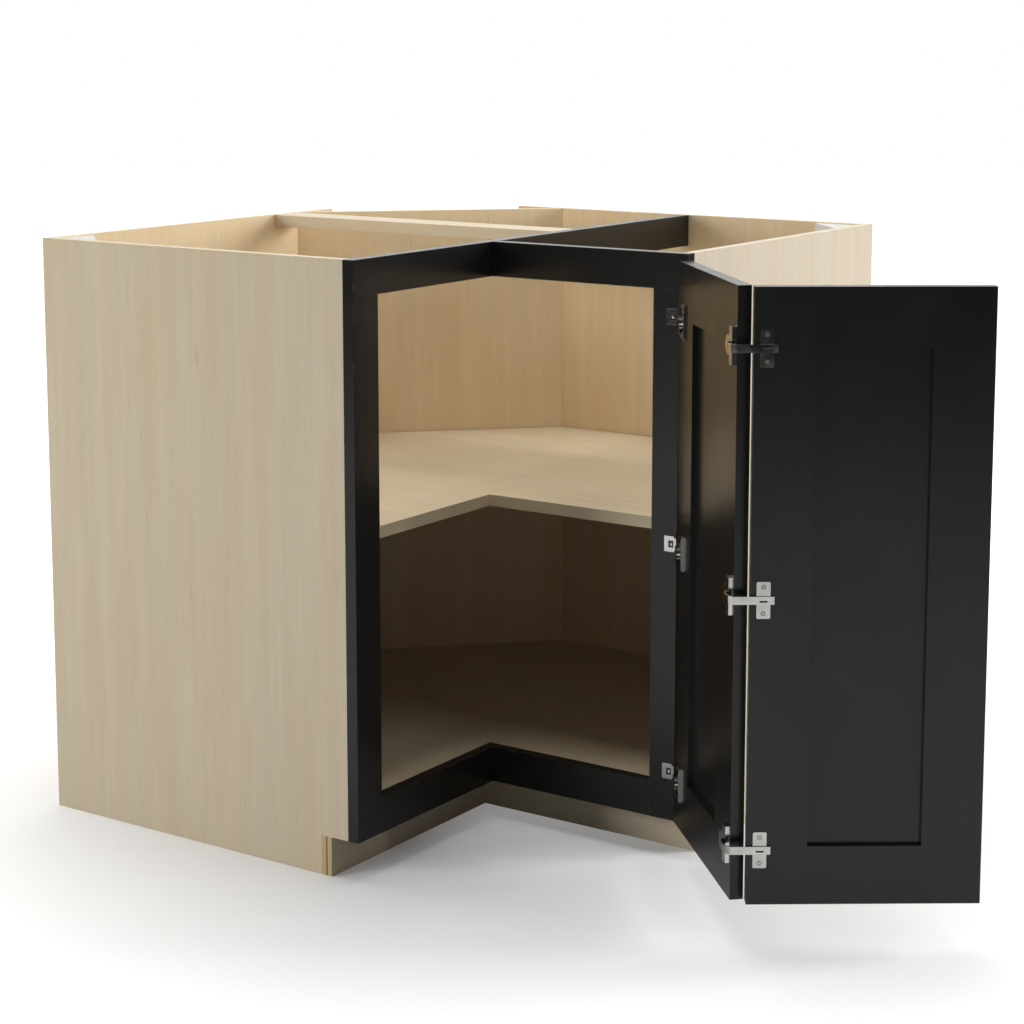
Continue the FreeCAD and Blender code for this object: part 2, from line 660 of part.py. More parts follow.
def frame_hinge_cup(label, height, screws):
    """The door's half of a frame hinge: a cup, a flange and a leaf round the edge to the middle knuckle."""
    sheet_range = ("door_back", "flange_back")
    leaf_side = "door_side_reveal - flange_thick"
    leaf_tall = around(height, "knuckle_half")
    flange_side = around("cup_centre", "flange_width / 2")
    lip = ("lip_side - lip_width", "lip_side")
    start = ("axis_out", "axis_side", leaf_tall[0])
    shapes = [
        block(HINGED, sheet_range, flange_side, around(height, "flange_tall / 2")),
        block(HINGED, ("door_back", "door_back + lip_rise"), lip, around(height, "lip_tall / 2")),
        block(HINGED, sheet_range, (leaf_side, "cup_centre"), leaf_tall),
        block(HINGED, ("axis_out", "flange_back"), (leaf_side, "door_side_reveal"), leaf_tall),
        rod(HINGED, start, "+z", "knuckle_radius", "2 * knuckle_half"),
        rod(HINGED, ("flange_back", "cup_centre", height), "-x", "cup_radius", "flange_thick + cup_depth"),
    ]
    mouth = ("flange_back + overcut", "cup_centre", height)
    hollow_depth = "overcut + flange_thick + cup_depth - cup_wall"
    hollow = rod(HINGED, mouth, "-x", "cup_radius - cup_wall", hollow_depth)
    keep_cut(label, HINGED, joined(shapes), [hollow, pin_bore(HINGED, height)] + [s.hole() for s in screws])


def cup_bore(centre, height, radius, depth):
    """The bore for a hinge cup in the back of the hinged door."""
    mouth = ("door_back + overcut", centre, height)
    return rod(HINGED, mouth, "-x", f"{radius} + cup_fit", f"overcut + {depth} + screw_end_play")


def fold_hinge_cup(label, height, screws):
    """The hinged door's half of a fold hinge: a cup and flange with a curved slot for the arm."""
    flange_side = ("fold_flange_side - fold_flange_width", "fold_flange_side")
    cup_start = ("fold_flange_back", "fold_cup_centre", height)
    shapes = [
        block(HINGED, ("door_back", "fold_flange_back"), flange_side, around(height, "flange_tall / 2")),
        rod(HINGED, cup_start, "-x", "fold_cup_radius", "fold_flange_thick + fold_cup_depth"),
    ]
    slot_start = ("fold_line", "fold_line", f"{height} - arm_tall / 2 - arm_play")
    slot_tall = "arm_tall + 2 * arm_play"
    slot = doc.addObject("Part::Cut", "slot")
    slot.Base = rod(HINGED, slot_start, "+z", "arm_radius + arm_thick / 2 + arm_play", slot_tall)
    slot.Tool = rod(HINGED, slot_start, "+z", "arm_radius - arm_thick / 2 - arm_play", slot_tall)
    keep_cut(label, HINGED, joined(shapes), [slot] + [screw.hole() for screw in screws])


def fold_hinge_plate(label, height, screws):
    """The plate of a fold hinge on the back of the folding door."""
    along = ("fold_plate_edge - fold_plate_width", "fold_plate_edge")
    tall = around(height, "fold_plate_tall / 2")
    across = ("door_back", "arm_low")
    narrow = (f"{along[0]} + fold_plate_corner", f"{along[1]} - fold_plate_corner")
    short = (f"{tall[0]} + fold_plate_corner", f"{tall[1]} - fold_plate_corner")
    shapes = [block(FOLDING, along, across, short), block(FOLDING, narrow, across, tall)]
    for x in narrow:
        for z in short:
            shapes.append(rod(FOLDING, (x, "door_back", z), "+y", "fold_plate_corner", "fold_plate_thick"))
    keep_cut(label, FOLDING, joined(shapes), [screw.hole() for screw in screws])


def fold_hinge_arm(label, height):
    """The arm of a fold hinge: flat along the plate, then curved about the fold axis into the cup."""
    tall = around(height, "arm_tall / 2")
    along = ("door_edge - arm_tail", "fold_line + bend_rise")
    strip = block(FOLDING, along, ("arm_low", "arm_low + arm_thick"), tall)
    start = ("fold_line", "fold_line", tall[0])
    outer = rod(FOLDING, start, "+z", "arm_radius + arm_thick / 2", "arm_tall")
    # The curved end runs from 45 degrees, where the strip meets it, back to the end angle.
    bind(outer, Angle="45 + arm_end_angle", Placement__Rotation__Angle="-arm_end_angle")
    curve = doc.addObject("Part::Cut", "curve")
    curve.Base = outer
    curve.Tool = rod(FOLDING, start, "+z", "arm_radius - arm_thick / 2", "arm_tall")
    slot_along = around("fold_plate_centre", "arm_slot_length / 2")
    slot_across = ("arm_low - overcut", "arm_low + arm_thick + overcut")
    slot_tall = around(f"{height} - arm_slot_drop", "arm_slot_width / 2")
    slot = block(FOLDING, slot_along, slot_across, slot_tall)
    keep_cut(label, FOLDING, joined([strip, curve]), [slot])


def make_door(prefix, carrier, outer_stile, fold_stile, swap, holes):
    """A door of two stiles, two rails and a thin panel held in their grooves.

    The hinged door runs along Y when closed and the folding door along X, so swap tells which way a range along
    the door goes. holes lists the bores of each stile.
    """

    def plan(along, across):
        """The ranges in X and Y of a range along the door and one across it."""
        return (across, along) if swap else (along, across)

    thick = ("fold_line", "door_back")
    groove = ("groove_front", "groove_back")
    stiles = {
        outer_stile: ("door_side_reveal", "door_side_reveal + door_stile"),
        fold_stile: ("door_edge - door_stile", "door_edge"),
    }
    inner = (stiles[outer_stile][1], stiles[fold_stile][0])
    upright = ("door_low", "door_high")
    inner_upright = ("door_low + door_rail", "door_high - door_rail")
    wide_groove = (f"{inner[0]} - groove_depth", f"{inner[1]} + groove_depth")
    tall_groove = (f"{inner_upright[0]} - groove_depth", f"{inner_upright[1]} + groove_depth")
    cut = block(carrier, *plan(wide_groove, groove), tall_groove)
    for name, along in stiles.items():
        blank = block(carrier, *plan(along, thick), upright)
        keep_cut(f"{prefix}_{name}", carrier, blank, [cut] + holes.get(name, []))
    rails = {
        "top_rail": (inner_upright[1], upright[1]),
        "bottom_rail": (upright[0], inner_upright[0]),
    }
    for name, level in rails.items():
        keep_cut(f"{prefix}_{name}", carrier, block(carrier, *plan(inner, thick), level), [cut])
    panel_along = (f"{wide_groove[0]} + panel_play", f"{wide_groove[1]} - panel_play")
    panel_across = ("groove_front + panel_fit", "groove_back - panel_fit")
    panel_tall = (f"{tall_groove[0]} + panel_play", f"{tall_groove[1]} - panel_play")
    keep(f"{prefix}_panel", carrier, board(carrier, *plan(panel_along, panel_across), panel_tall))


def screw_pair(carrier, point, way, thick, spacing):
    """Two screws, one above the other."""
    x, y, height = point
    return [
        Screw(carrier, (x, y, f"{height} - {spacing} / 2"), way, thick),
        Screw(carrier, (x, y, f"{height} + {spacing} / 2"), way, thick),
    ]


def make_doors_and_hinges():
    """Both doors, the frame hinges on the right stile and the fold hinges between the doors."""
    plate_screws = []
    cup_screws = []
    fold_cup_screws = []
    fold_plate_screws = []
    hinge_bores = []
    fold_bores = []
    for name, height in FRAME_HINGES.items():
        plate_screw = StileScrew(height)
        pair = screw_pair(HINGED, ("flange_back", "cup_centre", height), "-x", "flange_thick", "flange_screws")
        frame_hinge_plate(f"frame_hinge_plate_{name}", height, plate_screw)
        frame_hinge_cup(f"frame_hinge_cup_{name}", height, pair)
        plate_screws.append(plate_screw)
        cup_screws += pair
        hinge_bores.append(cup_bore("cup_centre", height, "cup_radius", "cup_depth"))
    for name, height in FOLD_HINGES.items():
        cup_point = ("fold_flange_back", "fold_flange_centre", height)
        pair = screw_pair(HINGED, cup_point, "-x", "fold_flange_thick", "flange_screws")
        fold_hinge_cup(f"fold_hinge_cup_{name}", height, pair)
        fold_cup_screws += pair
        fold_bores.append(cup_bore("fold_cup_centre", height, "fold_cup_radius", "fold_cup_depth"))
        plate_point = ("fold_plate_centre", "arm_low", height)
        pair = screw_pair(FOLDING, plate_point, "-y", "fold_plate_thick", "fold_plate_screws")
        fold_hinge_plate(f"fold_hinge_plate_{name}", height, pair)
        fold_hinge_arm(f"fold_hinge_arm_{name}", height)
        fold_plate_screws += pair

    hinged_holes = {
        "hinge_stile": hinge_bores + [screw.hole() for screw in cup_screws],
        "fold_stile": fold_bores + [screw.hole() for screw in fold_cup_screws],
    }
    make_door("hinged_door", HINGED, "hinge_stile", "fold_stile", True, hinged_holes)
    folding_holes = {"fold_stile": [screw.hole() for screw in fold_plate_screws]}
    make_door("folding_door", FOLDING, "free_stile", "fold_stile", False, folding_holes)
    keep_group("frame_hinge_pins", CABINET, [hinge_pin(height) for height in FRAME_HINGES.values()])
    keep_group("frame_hinge_screws", CABINET, [screw.shape() for screw in plate_screws])
    keep_group("frame_cup_screws", HINGED, [screw.shape() for screw in cup_screws])
    keep_group("fold_cup_screws", HINGED, [screw.shape() for screw in fold_cup_screws])
    keep_group("fold_plate_screws", FOLDING, [screw.shape() for screw in fold_plate_screws])
    return plate_screws


def check_document():
    """Stops if any object failed or any piece is empty or broken."""
    for item in doc.Objects:
        if {"Invalid", "Error"} & set(item.State):
            raise RuntimeError(f"{item.Name} ({item.Label}) did not compute")
    for item in pieces:
        if item.Shape.isNull() or not item.Shape.isValid() or not item.Shape.Solids:
            raise RuntimeError(f"{item.Label} has no sound shape")


corner_screws = block_screw_places()
make_carcass(corner_screws)
make_corner_blocks(corner_screws)
stile_screws = make_doors_and_hinges()
make_face_frame(stile_screws)
doc.recompute()
check_document()
os.makedirs("parts", exist_ok=True)
for piece in pieces:
    piece.Shape.exportStep(f"parts/{piece.Label}.step")
print(len(pieces), "pieces,", sum(len(piece.Shape.Solids) for piece in pieces), "solids")
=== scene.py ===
"""Dresses the easy reach corner base cabinet and sets up its picture.

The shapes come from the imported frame. This script rounds their edges, gives each board, door, hinge and block
its finish, and sets the floor, the light and the camera round them. All lengths are metres.
"""
from __future__ import annotations

import logging
import math
from dataclasses import dataclass, field
from enum import Enum

import bmesh
import bpy
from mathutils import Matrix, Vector

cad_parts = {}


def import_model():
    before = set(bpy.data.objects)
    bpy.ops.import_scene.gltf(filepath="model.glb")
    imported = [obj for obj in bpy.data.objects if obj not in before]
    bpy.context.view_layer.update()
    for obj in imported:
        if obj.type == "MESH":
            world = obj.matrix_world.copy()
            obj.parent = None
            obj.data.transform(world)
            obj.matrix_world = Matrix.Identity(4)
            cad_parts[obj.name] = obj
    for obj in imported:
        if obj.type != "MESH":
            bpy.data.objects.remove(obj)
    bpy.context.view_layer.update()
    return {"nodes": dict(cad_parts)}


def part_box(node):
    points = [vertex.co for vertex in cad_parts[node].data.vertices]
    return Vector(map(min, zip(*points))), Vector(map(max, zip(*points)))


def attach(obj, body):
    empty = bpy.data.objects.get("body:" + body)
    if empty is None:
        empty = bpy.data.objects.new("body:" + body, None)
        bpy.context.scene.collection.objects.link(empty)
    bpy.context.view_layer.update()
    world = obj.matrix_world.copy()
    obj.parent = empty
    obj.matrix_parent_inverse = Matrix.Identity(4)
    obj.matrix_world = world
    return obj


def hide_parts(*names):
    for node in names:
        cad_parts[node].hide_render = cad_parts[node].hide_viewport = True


Triple = tuple[float, float, float]
Span = tuple[float, float]
Nodes = dict[str, bpy.types.Object]
Socket = bpy.types.NodeSocket
Given = dict[int | str, object]
Loop = list[bmesh.types.BMVert]
LOG = logging.getLogger("corner_cabinet")
HINGE_HEIGHTS = ("top", "middle", "bottom")

# Corners closer than this are at one level, or are one point.
SAME_LEVEL = 0.00001
SAME_POINT = 0.000001
# Corners beyond this share of a head's half width belong to its rim.
RIM_SHARE = 0.95
# A face whose normal has at least this much of an axis is square to it.
SQUARE_ON = 0.99
# The power of a round loop.
ROUND = 2.0
# How a board's figure is moved along X, Y and Z.
FIGURE_SHIFT = (1.0, 0.37, 0.61)
# Sockets of a colour Mix node.
MIX_FACTOR, MIX_FIRST, MIX_SECOND, MIX_RESULT = 0, 6, 7, 2


class Axis(Enum):
    """A direction of the shared frame."""

    X = 0
    Y = 1
    Z = 2


class PlyEdge(Enum):
    """How the cut edges of a plywood board look."""

    BANDED = "banded"
    BARE = "bare"


class Slot(Enum):
    """The material slots of the record."""

    MAPLE = "maple_ply"
    BLACK = "black_paint"
    STEEL = "hinge_steel"
    PLASTIC = "pale_plastic"


class NodeBench:
    """Adds nodes to one node tree and joins them up."""

    def __init__(self, tree: bpy.types.NodeTree) -> None:
        """Keeps the tree that the nodes go in."""
        self.tree = tree

    def feed(self, target: Socket, value: object) -> None:
        """Links a socket to an input, or sets the input to a plain value.

        Args:
            target: the input socket.
            value: an output socket, or a number or tuple.
        """
        if isinstance(value, Socket):
            self.tree.links.new(value, target)
        else:
            target.default_value = value

    def fill(self, node: bpy.types.Node, given: Given) -> None:
        """Feeds several inputs of a node, by place or name."""
        for key, value in given.items():
            self.feed(node.inputs[key], value)

    def add(self, kind: str, given: Given | None = None, **settings: object) -> bpy.types.Node:
        """Adds one node.

        Args:
            kind: the node's Blender type.
            given: what its inputs take, by place or name.
            settings: properties of the node to set.

        Returns:
            The new node.
        """
        node = self.tree.nodes.new(kind)
        for key, value in settings.items():
            setattr(node, key, value)
        self.fill(node, given or {})
        return node

    def sum(self, operation: str, *values: object) -> Socket:
        """Adds a Math node and gives its result."""
        return self.add("ShaderNodeMath", dict(enumerate(values)), operation=operation).outputs[0]

    def vector(self, operation: str, *values: object) -> Socket:
        """Adds a Vector Math node and gives its result, a number where the operation gives one."""
        node = self.add("ShaderNodeVectorMath", dict(enumerate(values)), operation=operation)
        return node.outputs["Value" if operation in ("LENGTH", "DOT_PRODUCT") else "Vector"]

    def ramp(self, value: object, start: float, end: float, low: object = 0.0, high: object = 1.0) -> Socket:
        """Adds a smooth Map Range node.

        Args:
            value: the number to map.
            start: where the range begins.
            end: where the range ends.
            low: the result at the beginning.
            high: the result at the end.

        Returns:
            The result's socket.
        """
        given = {"Value": value, "From Min": start, "From Max": end, "To Min": low, "To Max": high}
        return self.add("ShaderNodeMapRange", given, interpolation_type="SMOOTHSTEP").outputs["Result"]

    def noise(self, place: object, waves: Triple, detail: float = 2.0, rough: float = 0.5) -> Socket:
        """Adds a noise that is stretched along the axes.

        Args:
            place: the position in metres.
            waves: waves in each metre along X, Y and Z.
            detail: how many finer layers the noise has.
            rough: how strong the finer layers are.

        Returns:
            The noise's value.
        """
        spread = self.vector("MULTIPLY", place, waves)
        given = {"Vector": spread, "Scale": 1.0, "Detail": detail, "Roughness": rough}
        return self.add("ShaderNodeTexNoise", given).outputs[0]

    def blend(self, factor: object, first: object, second: object, kind: str = "MIX") -> Socket:
        """Adds a colour Mix node.

        Args:
            factor: how much of the second colour.
            first: the first colour.
            second: the second colour.
            kind: the node's blend type.

        Returns:
            The mixed colour's socket.
        """
        given = {MIX_FACTOR: factor, MIX_FIRST: first, MIX_SECOND: second}
        for key, value in given.items():
            if isinstance(value, tuple):
                given[key] = (*value, 1.0)
        return self.add("ShaderNodeMix", given, data_type="RGBA", blend_type=kind).outputs[MIX_RESULT]

    def split(self, vector: object) -> list[Socket]:
        """Adds a Separate XYZ node and gives its three numbers."""
        return list(self.add("ShaderNodeSeparateXYZ", {0: vector}).outputs)

    def join(self, values: list[object]) -> Socket:
        """Adds a Combine XYZ node and gives its vector."""
        return self.add("ShaderNodeCombineXYZ", dict(enumerate(values))).outputs[0]

    def grey(self, level: object) -> Socket:
        """Makes a grey colour of one number."""
        return self.join([level, level, level])

    def effect(self, group: bpy.types.NodeTree, **given: object) -> dict[str, Socket]:
        """Places a shared effect with its inputs by name, and gives its outputs by name."""
        node = self.add("ShaderNodeGroup", given, node_tree=group)
        return {socket.name: socket for socket in node.outputs}


class SharedEffects:
    """The node groups that several finishes use, each built once, with waves counted in each metre."""

    sway_waves: Triple = (3.0, 3.0, 1.4)
    sway_reach: float = 0.02
    streak_waves: Triple = (46.0, 46.0, 1.7)
    streak_span: Span = (0.3, 0.7)
    blush_waves: Triple = (31.0, 31.0, 2.8)
    blush_span: Span = (0.40, 0.70)
    fibre_waves: Triple = (620.0, 620.0, 11.0)
    fleck_waves: Triple = (210.0, 210.0, 17.0)
    fleck_span: Span = (0.70, 0.80)
    waver_waves: Triple = (90.0, 90.0, 90.0)
    waver_reach: float = 0.0007
    core_span: Span = (0.0008, 0.0018)
    layer_pitch: float = 0.0036
    layer_span: Span = (-0.6, 0.9)
    blotch_waves: Triple = (11.0, 11.0, 8.0)
    blotch_span: Span = (0.3, 0.72)
    ripple_waves: Triple = (950.0, 950.0, 950.0)
    break_waves: Triple = (60.0, 60.0, 60.0)
    break_span: Span = (0.42, 0.66)

    def __init__(self) -> None:
        """Builds the groups."""
        self.maple_grain = self._maple_grain()
        self.ply_layers = self._ply_layers()
        self.uneven_sheen = self._uneven_sheen()
        self.edge_rub_and_highlight = self._edge_rub_and_highlight()

    @staticmethod
    def _start(name: str, inputs: dict[str, str], outputs: list[str]) -> tuple[NodeBench, dict, dict]:
        """Makes an empty group.

        Args:
            name: the group's name.
            inputs: the type of each input, by name.
            outputs: the names of the outputs, all plain values.

        Returns:
            The bench for its nodes, its input sockets and its output sockets.
        """
        tree = bpy.data.node_groups.new(name, "ShaderNodeTree")
        for key, kind in inputs.items():
            tree.interface.new_socket(key, in_out="INPUT", socket_type=kind)
        for key in outputs:
            tree.interface.new_socket(key, in_out="OUTPUT", socket_type="NodeSocketFloat")
        bench = NodeBench(tree)
        entry = bench.add("NodeGroupInput")
        leave = bench.add("NodeGroupOutput")
        return bench, {s.name: s for s in entry.outputs}, {s.name: s for s in leave.inputs}

    def _maple_grain(self) -> bpy.types.NodeTree:
        """Long soft streaks, fine fibres and short flecks that run along Z.

        Returns:
            The group.
        """
        outputs = ["Streak", "Blush", "Fibre", "Fleck"]
        bench, given, out = self._start("maple_grain", {"Place": "NodeSocketVector"}, outputs)
        place = given["Place"]
        sway = bench.sum("MULTIPLY", bench.noise(place, self.sway_waves, 1.0), self.sway_reach)
        bent = bench.vector("ADD", place, bench.join([sway, 0.0, 0.0]))
        streak = bench.noise(bent, self.streak_waves, 3.0)
        blush = bench.noise(bent, self.blush_waves, 2.0)
        fleck = bench.noise(bent, self.fleck_waves, 1.0)
        bench.feed(out["Streak"], bench.ramp(streak, *self.streak_span))
        bench.feed(out["Blush"], bench.ramp(blush, *self.blush_span))
        bench.feed(out["Fibre"], bench.noise(bent, self.fibre_waves, 2.0, 0.6))
        bench.feed(out["Fleck"], bench.ramp(fleck, *self.fleck_span))
        return bench.tree

    def _ply_layers(self) -> bpy.types.NodeTree:
        """The layers that a cut plywood edge shows, darkest on the middle one.

        Returns:
            The group.
        """
        inputs = {"Depth": "NodeSocketFloat", "Thickness": "NodeSocketFloat", "Place": "NodeSocketVector"}
        bench, given, out = self._start("ply_layers", inputs, ["Core", "Layer"])
        waver = bench.sum("MULTIPLY", bench.noise(given["Place"], self.waver_waves), self.waver_reach)
        depth = bench.sum("ADD", given["Depth"], waver)
        middle = bench.sum("MULTIPLY", given["Thickness"], 0.5)
        away = bench.sum("ABSOLUTE", bench.sum("SUBTRACT", depth, middle))
        bench.feed(out["Core"], bench.ramp(away, *self.core_span, 1.0, 0.0))
        waves = bench.sum("SINE", bench.sum("MULTIPLY", depth, 2.0 * math.pi / self.layer_pitch))
        bench.feed(out["Layer"], bench.ramp(waves, *self.layer_span))
        return bench.tree

    def _uneven_sheen(self) -> bpy.types.NodeTree:
        """Soft blotches from handling, and the fine ripple of a sprayed or moulded skin.

        Returns:
            The group.
        """
        bench, given, out = self._start("uneven_sheen", {"Place": "NodeSocketVector"}, ["Blotch", "Ripple"])
        place = given["Place"]
        blotch = bench.noise(place, self.blotch_waves, 4.0, 0.6)
        bench.feed(out["Blotch"], bench.ramp(blotch, *self.blotch_span))
        bench.feed(out["Ripple"], bench.noise(place, self.ripple_waves, 1.0))
        return bench.tree

    def _edge_rub_and_highlight(self) -> bpy.types.NodeTree:
        """A broken line along a board's edges, for rubbed wear and for painted edge highlights.

        Returns:
            The group.
        """
        inputs = {name: "NodeSocketVector" for name in ("Place", "Low", "High")}
        bench, given, out = self._start("edge_rub_and_highlight", {**inputs, "Reach": "NodeSocketFloat"}, ["Rub"])
        place = given["Place"]
        above = bench.vector("SUBTRACT", place, given["Low"])
        below = bench.vector("SUBTRACT", given["High"], place)
        first, second, third = bench.split(bench.vector("MINIMUM", above, below))
        nearer = bench.sum("MINIMUM", first, second)
        farther = bench.sum("MAXIMUM", first, second)
        edge = bench.sum("MAXIMUM", nearer, bench.sum("MINIMUM", farther, third))
        line = bench.ramp(bench.sum("DIVIDE", edge, given["Reach"]), 0.0, 1.0, 1.0, 0.0)
        broken = bench.ramp(bench.noise(place, self.break_waves, 3.0), *self.break_span)
        bench.feed(out["Rub"], bench.sum("MULTIPLY", line, broken))
        return bench.tree


def new_finish(name: str) -> tuple[bpy.types.Material, NodeBench, bpy.types.Node]:
    """Makes an empty material.

    Args:
        name: the material's name.

    Returns:
        The material, the bench for its nodes and its Principled shader.
    """
    material = bpy.data.materials.new(name)
    material.use_nodes = True
    material.node_tree.nodes.clear()
    bench = NodeBench(material.node_tree)
    shader = bench.add("ShaderNodeBsdfPrincipled")
    bench.add("ShaderNodeOutputMaterial", {"Surface": shader.outputs[0]})
    return material, bench, shader


def along_grain(bench: NodeBench, place: object, grain: Axis, start: float) -> Socket:
    """Turns a position so that the grain runs along Z, and moves it so that no two boards match.

    Args:
        bench: the bench for the nodes.
        place: the position in the shared frame.
        grain: the direction of the grain.
        start: how far the board's figure is moved.

    Returns:
        The turned position.
    """
    x, y, z = bench.split(place)
    order = {Axis.X: [y, z, x], Axis.Y: [x, z, y], Axis.Z: [x, y, z]}[grain]
    return bench.vector("ADD", bench.join(order), tuple(share * start for share in FIGURE_SHIFT))


@dataclass
class Ground:
    """What every finish starts from, in a new material."""

    bench: NodeBench
    shader: bpy.types.Node
    effects: SharedEffects
    spot: bpy.types.Node
    place: Socket
    turned: Socket
    rub_and_highlight: Socket
    low: Vector
    high: Vector


@dataclass(frozen=True, kw_only=True)
class Finish:
    """What all the finishes share."""

    word: str
    matt: float
    glossy: float
    rub_and_highlight_reach: float
    rub_and_highlight_share: float
    bump_strength: float
    bump_depth: float
    grain: Axis = Axis.Z

    def make(self, node: bpy.types.Object, start: float, effects: SharedEffects) -> bpy.types.Material:
        """Makes the finish for one piece.

        Args:
            node: the piece.
            start: how far the piece's figure is moved.
            effects: the shared effects.

        Returns:
            The material.
        """
        material, bench, shader = new_finish(f"{self.word}_{node.name}")
        spot = bench.add("ShaderNodeTexCoord")
        place = spot.outputs["Object"]
        low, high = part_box(node.name)
        turned = along_grain(bench, place, self.grain, start)
        corners = {"Low": tuple(low), "High": tuple(high)}
        rub_and_highlight = bench.effect(effects.edge_rub_and_highlight, Place=place, Reach=self.rub_and_highlight_reach, **corners)["Rub"]
        height = self.lay(Ground(bench, shader, effects, spot, place, turned, rub_and_highlight, low, high))
        given = {"Strength": self.bump_strength, "Distance": self.bump_depth, "Height": height}
        bench.fill(shader, {"Normal": bench.add("ShaderNodeBump", given).outputs[0]})
        return material

    def lay(self, ground: Ground) -> Socket:
        """Sets the colour and the gloss, and returns the height of the bump."""
        raise NotImplementedError

    def rub_and_highlight_edges(self, ground: Ground, colour: object, worn_and_highlight: Triple) -> Socket:
        """Shows another colour along the edges: wear where it is darker, painted highlight where it is lighter.

        Args:
            ground: the material.
            colour: the colour of the rest.
            worn_and_highlight: the colour of the edges, a painted highlight where it is lighter than the rest.

        Returns:
            The mixed colour.
        """
        share = ground.bench.sum("MULTIPLY", ground.rub_and_highlight, self.rub_and_highlight_share)
        return ground.bench.blend(share, colour, worn_and_highlight)


@dataclass(frozen=True, kw_only=True)
class MaplePly(Finish):
    """Clear-lacquered maple plywood."""

    word: str = "maple"
    across: Axis = Axis.X
    edge: PlyEdge = PlyEdge.BANDED
    pale: Triple = (0.760, 0.650, 0.476)
    grey: Triple = (0.715, 0.610, 0.446)
    blush: Triple = (0.728, 0.584, 0.392)
    fleck: Triple = (0.480, 0.360, 0.240)
    layer: Triple = (0.640, 0.450, 0.215)
    core: Triple = (0.230, 0.130, 0.055)
    blush_share: float = 0.72
    fleck_share: float = 0.25
    fibre_span: Span = (0.3, 0.7)
    fibre_light: Span = (0.97, 1.02)
    fibre_rough: float = 0.05
    cut_span: Span = (0.3, 0.6)
    layer_share: Span = (0.72, 1.0)
    matt: float = 0.52
    glossy: float = 0.40
    rub_and_highlight_reach: float = 0.004
    rub_and_highlight_share: float = 0.25
    bump_strength: float = 0.12
    bump_depth: float = 0.0002

    def lay(self, ground: Ground) -> Socket:
        """Lays the streaks, flecks and fibres of one board.

        Args:
            ground: the material.

        Returns:
            The height of the bump.
        """
        bench = ground.bench
        grain = bench.effect(ground.effects.maple_grain, Place=ground.turned)
        sheen = bench.effect(ground.effects.uneven_sheen, Place=ground.turned)
        colour = bench.blend(grain["Streak"], self.pale, self.grey)
        colour = bench.blend(bench.sum("MULTIPLY", grain["Blush"], self.blush_share), colour, self.blush)
        colour = bench.blend(bench.sum("MULTIPLY", grain["Fleck"], self.fleck_share), colour, self.fleck)
        fibre = bench.ramp(grain["Fibre"], *self.fibre_span, *self.fibre_light)
        colour = bench.blend(1.0, colour, bench.grey(fibre), "MULTIPLY")
        colour = self.rub_and_highlight_edges(ground, colour, self.layer)
        if self.edge is PlyEdge.BARE:
            colour = self._cut_edges(ground, colour)
        rough = bench.ramp(sheen["Blotch"], 0.0, 1.0, self.matt, self.glossy)
        rough = bench.sum("MULTIPLY_ADD", grain["Fibre"], self.fibre_rough, rough)
        bench.fill(ground.shader, {"Base Color": colour, "Roughness": rough})
        return grain["Fibre"]

    def _cut_edges(self, ground: Ground, colour: object) -> Socket:
        """Shows the layers on the faces that cut across the board.

        Args:
            ground: the material.
            colour: the colour of the board's faces.

        Returns:
            The colour with the layers on the cut edges.
        """
        bench = ground.bench
        index = self.across.value
        thick = ground.high[index] - ground.low[index]
        depth = bench.sum("SUBTRACT", bench.split(ground.place)[index], ground.low[index])
        layers = bench.effect(ground.effects.ply_layers, Depth=depth, Thickness=thick, Place=ground.place)
        facing = bench.sum("ABSOLUTE", bench.split(ground.spot.outputs["Normal"])[index])
        cut = bench.ramp(facing, *self.cut_span, 1.0, 0.0)
        share = bench.ramp(layers["Layer"], 0.0, 1.0, *self.layer_share)
        edge = bench.blend(share, self.pale, self.layer)
        edge = bench.blend(layers["Core"], edge, self.core)
        return bench.blend(cut, colour, edge)


@dataclass(frozen=True, kw_only=True)
class BlackPaint(Finish):
    """Satin black paint on wood."""

    word: str = "black"
    tone: Triple = (0.0100, 0.0100, 0.0097)
    # Painted highlight: a lighter colour along the edges, standing in for glints on the rounded edges.
    worn_and_highlight: Triple = (0.0300, 0.0280, 0.0250)
    faded: Triple = (0.0116, 0.0114, 0.0109)
    matt: float = 0.27
    glossy: float = 0.22
    rub_and_highlight_reach: float = 0.003
    rub_and_highlight_share: float = 0.5
    rub_and_highlight_rough: float = 0.08
    fibre_height: float = 0.3
    bump_strength: float = 0.02
    bump_depth: float = 0.0001

    def lay(self, ground: Ground) -> Socket:
        """Lays the paint on one board, with the wood's fibres just showing.

        Args:
            ground: the material.

        Returns:
            The height of the bump.
        """
        bench = ground.bench
        grain = bench.effect(ground.effects.maple_grain, Place=ground.turned)
        sheen = bench.effect(ground.effects.uneven_sheen, Place=ground.turned)
        colour = bench.blend(sheen["Blotch"], self.tone, self.faded)
        colour = self.rub_and_highlight_edges(ground, colour, self.worn_and_highlight)
        rough = bench.ramp(sheen["Blotch"], 0.0, 1.0, self.matt, self.glossy)
        rough = bench.sum("MULTIPLY_ADD", ground.rub_and_highlight, self.rub_and_highlight_rough, rough)
        bench.fill(ground.shader, {"Base Color": colour, "Roughness": rough})
        return bench.sum("MULTIPLY_ADD", grain["Fibre"], self.fibre_height, sheen["Ripple"])


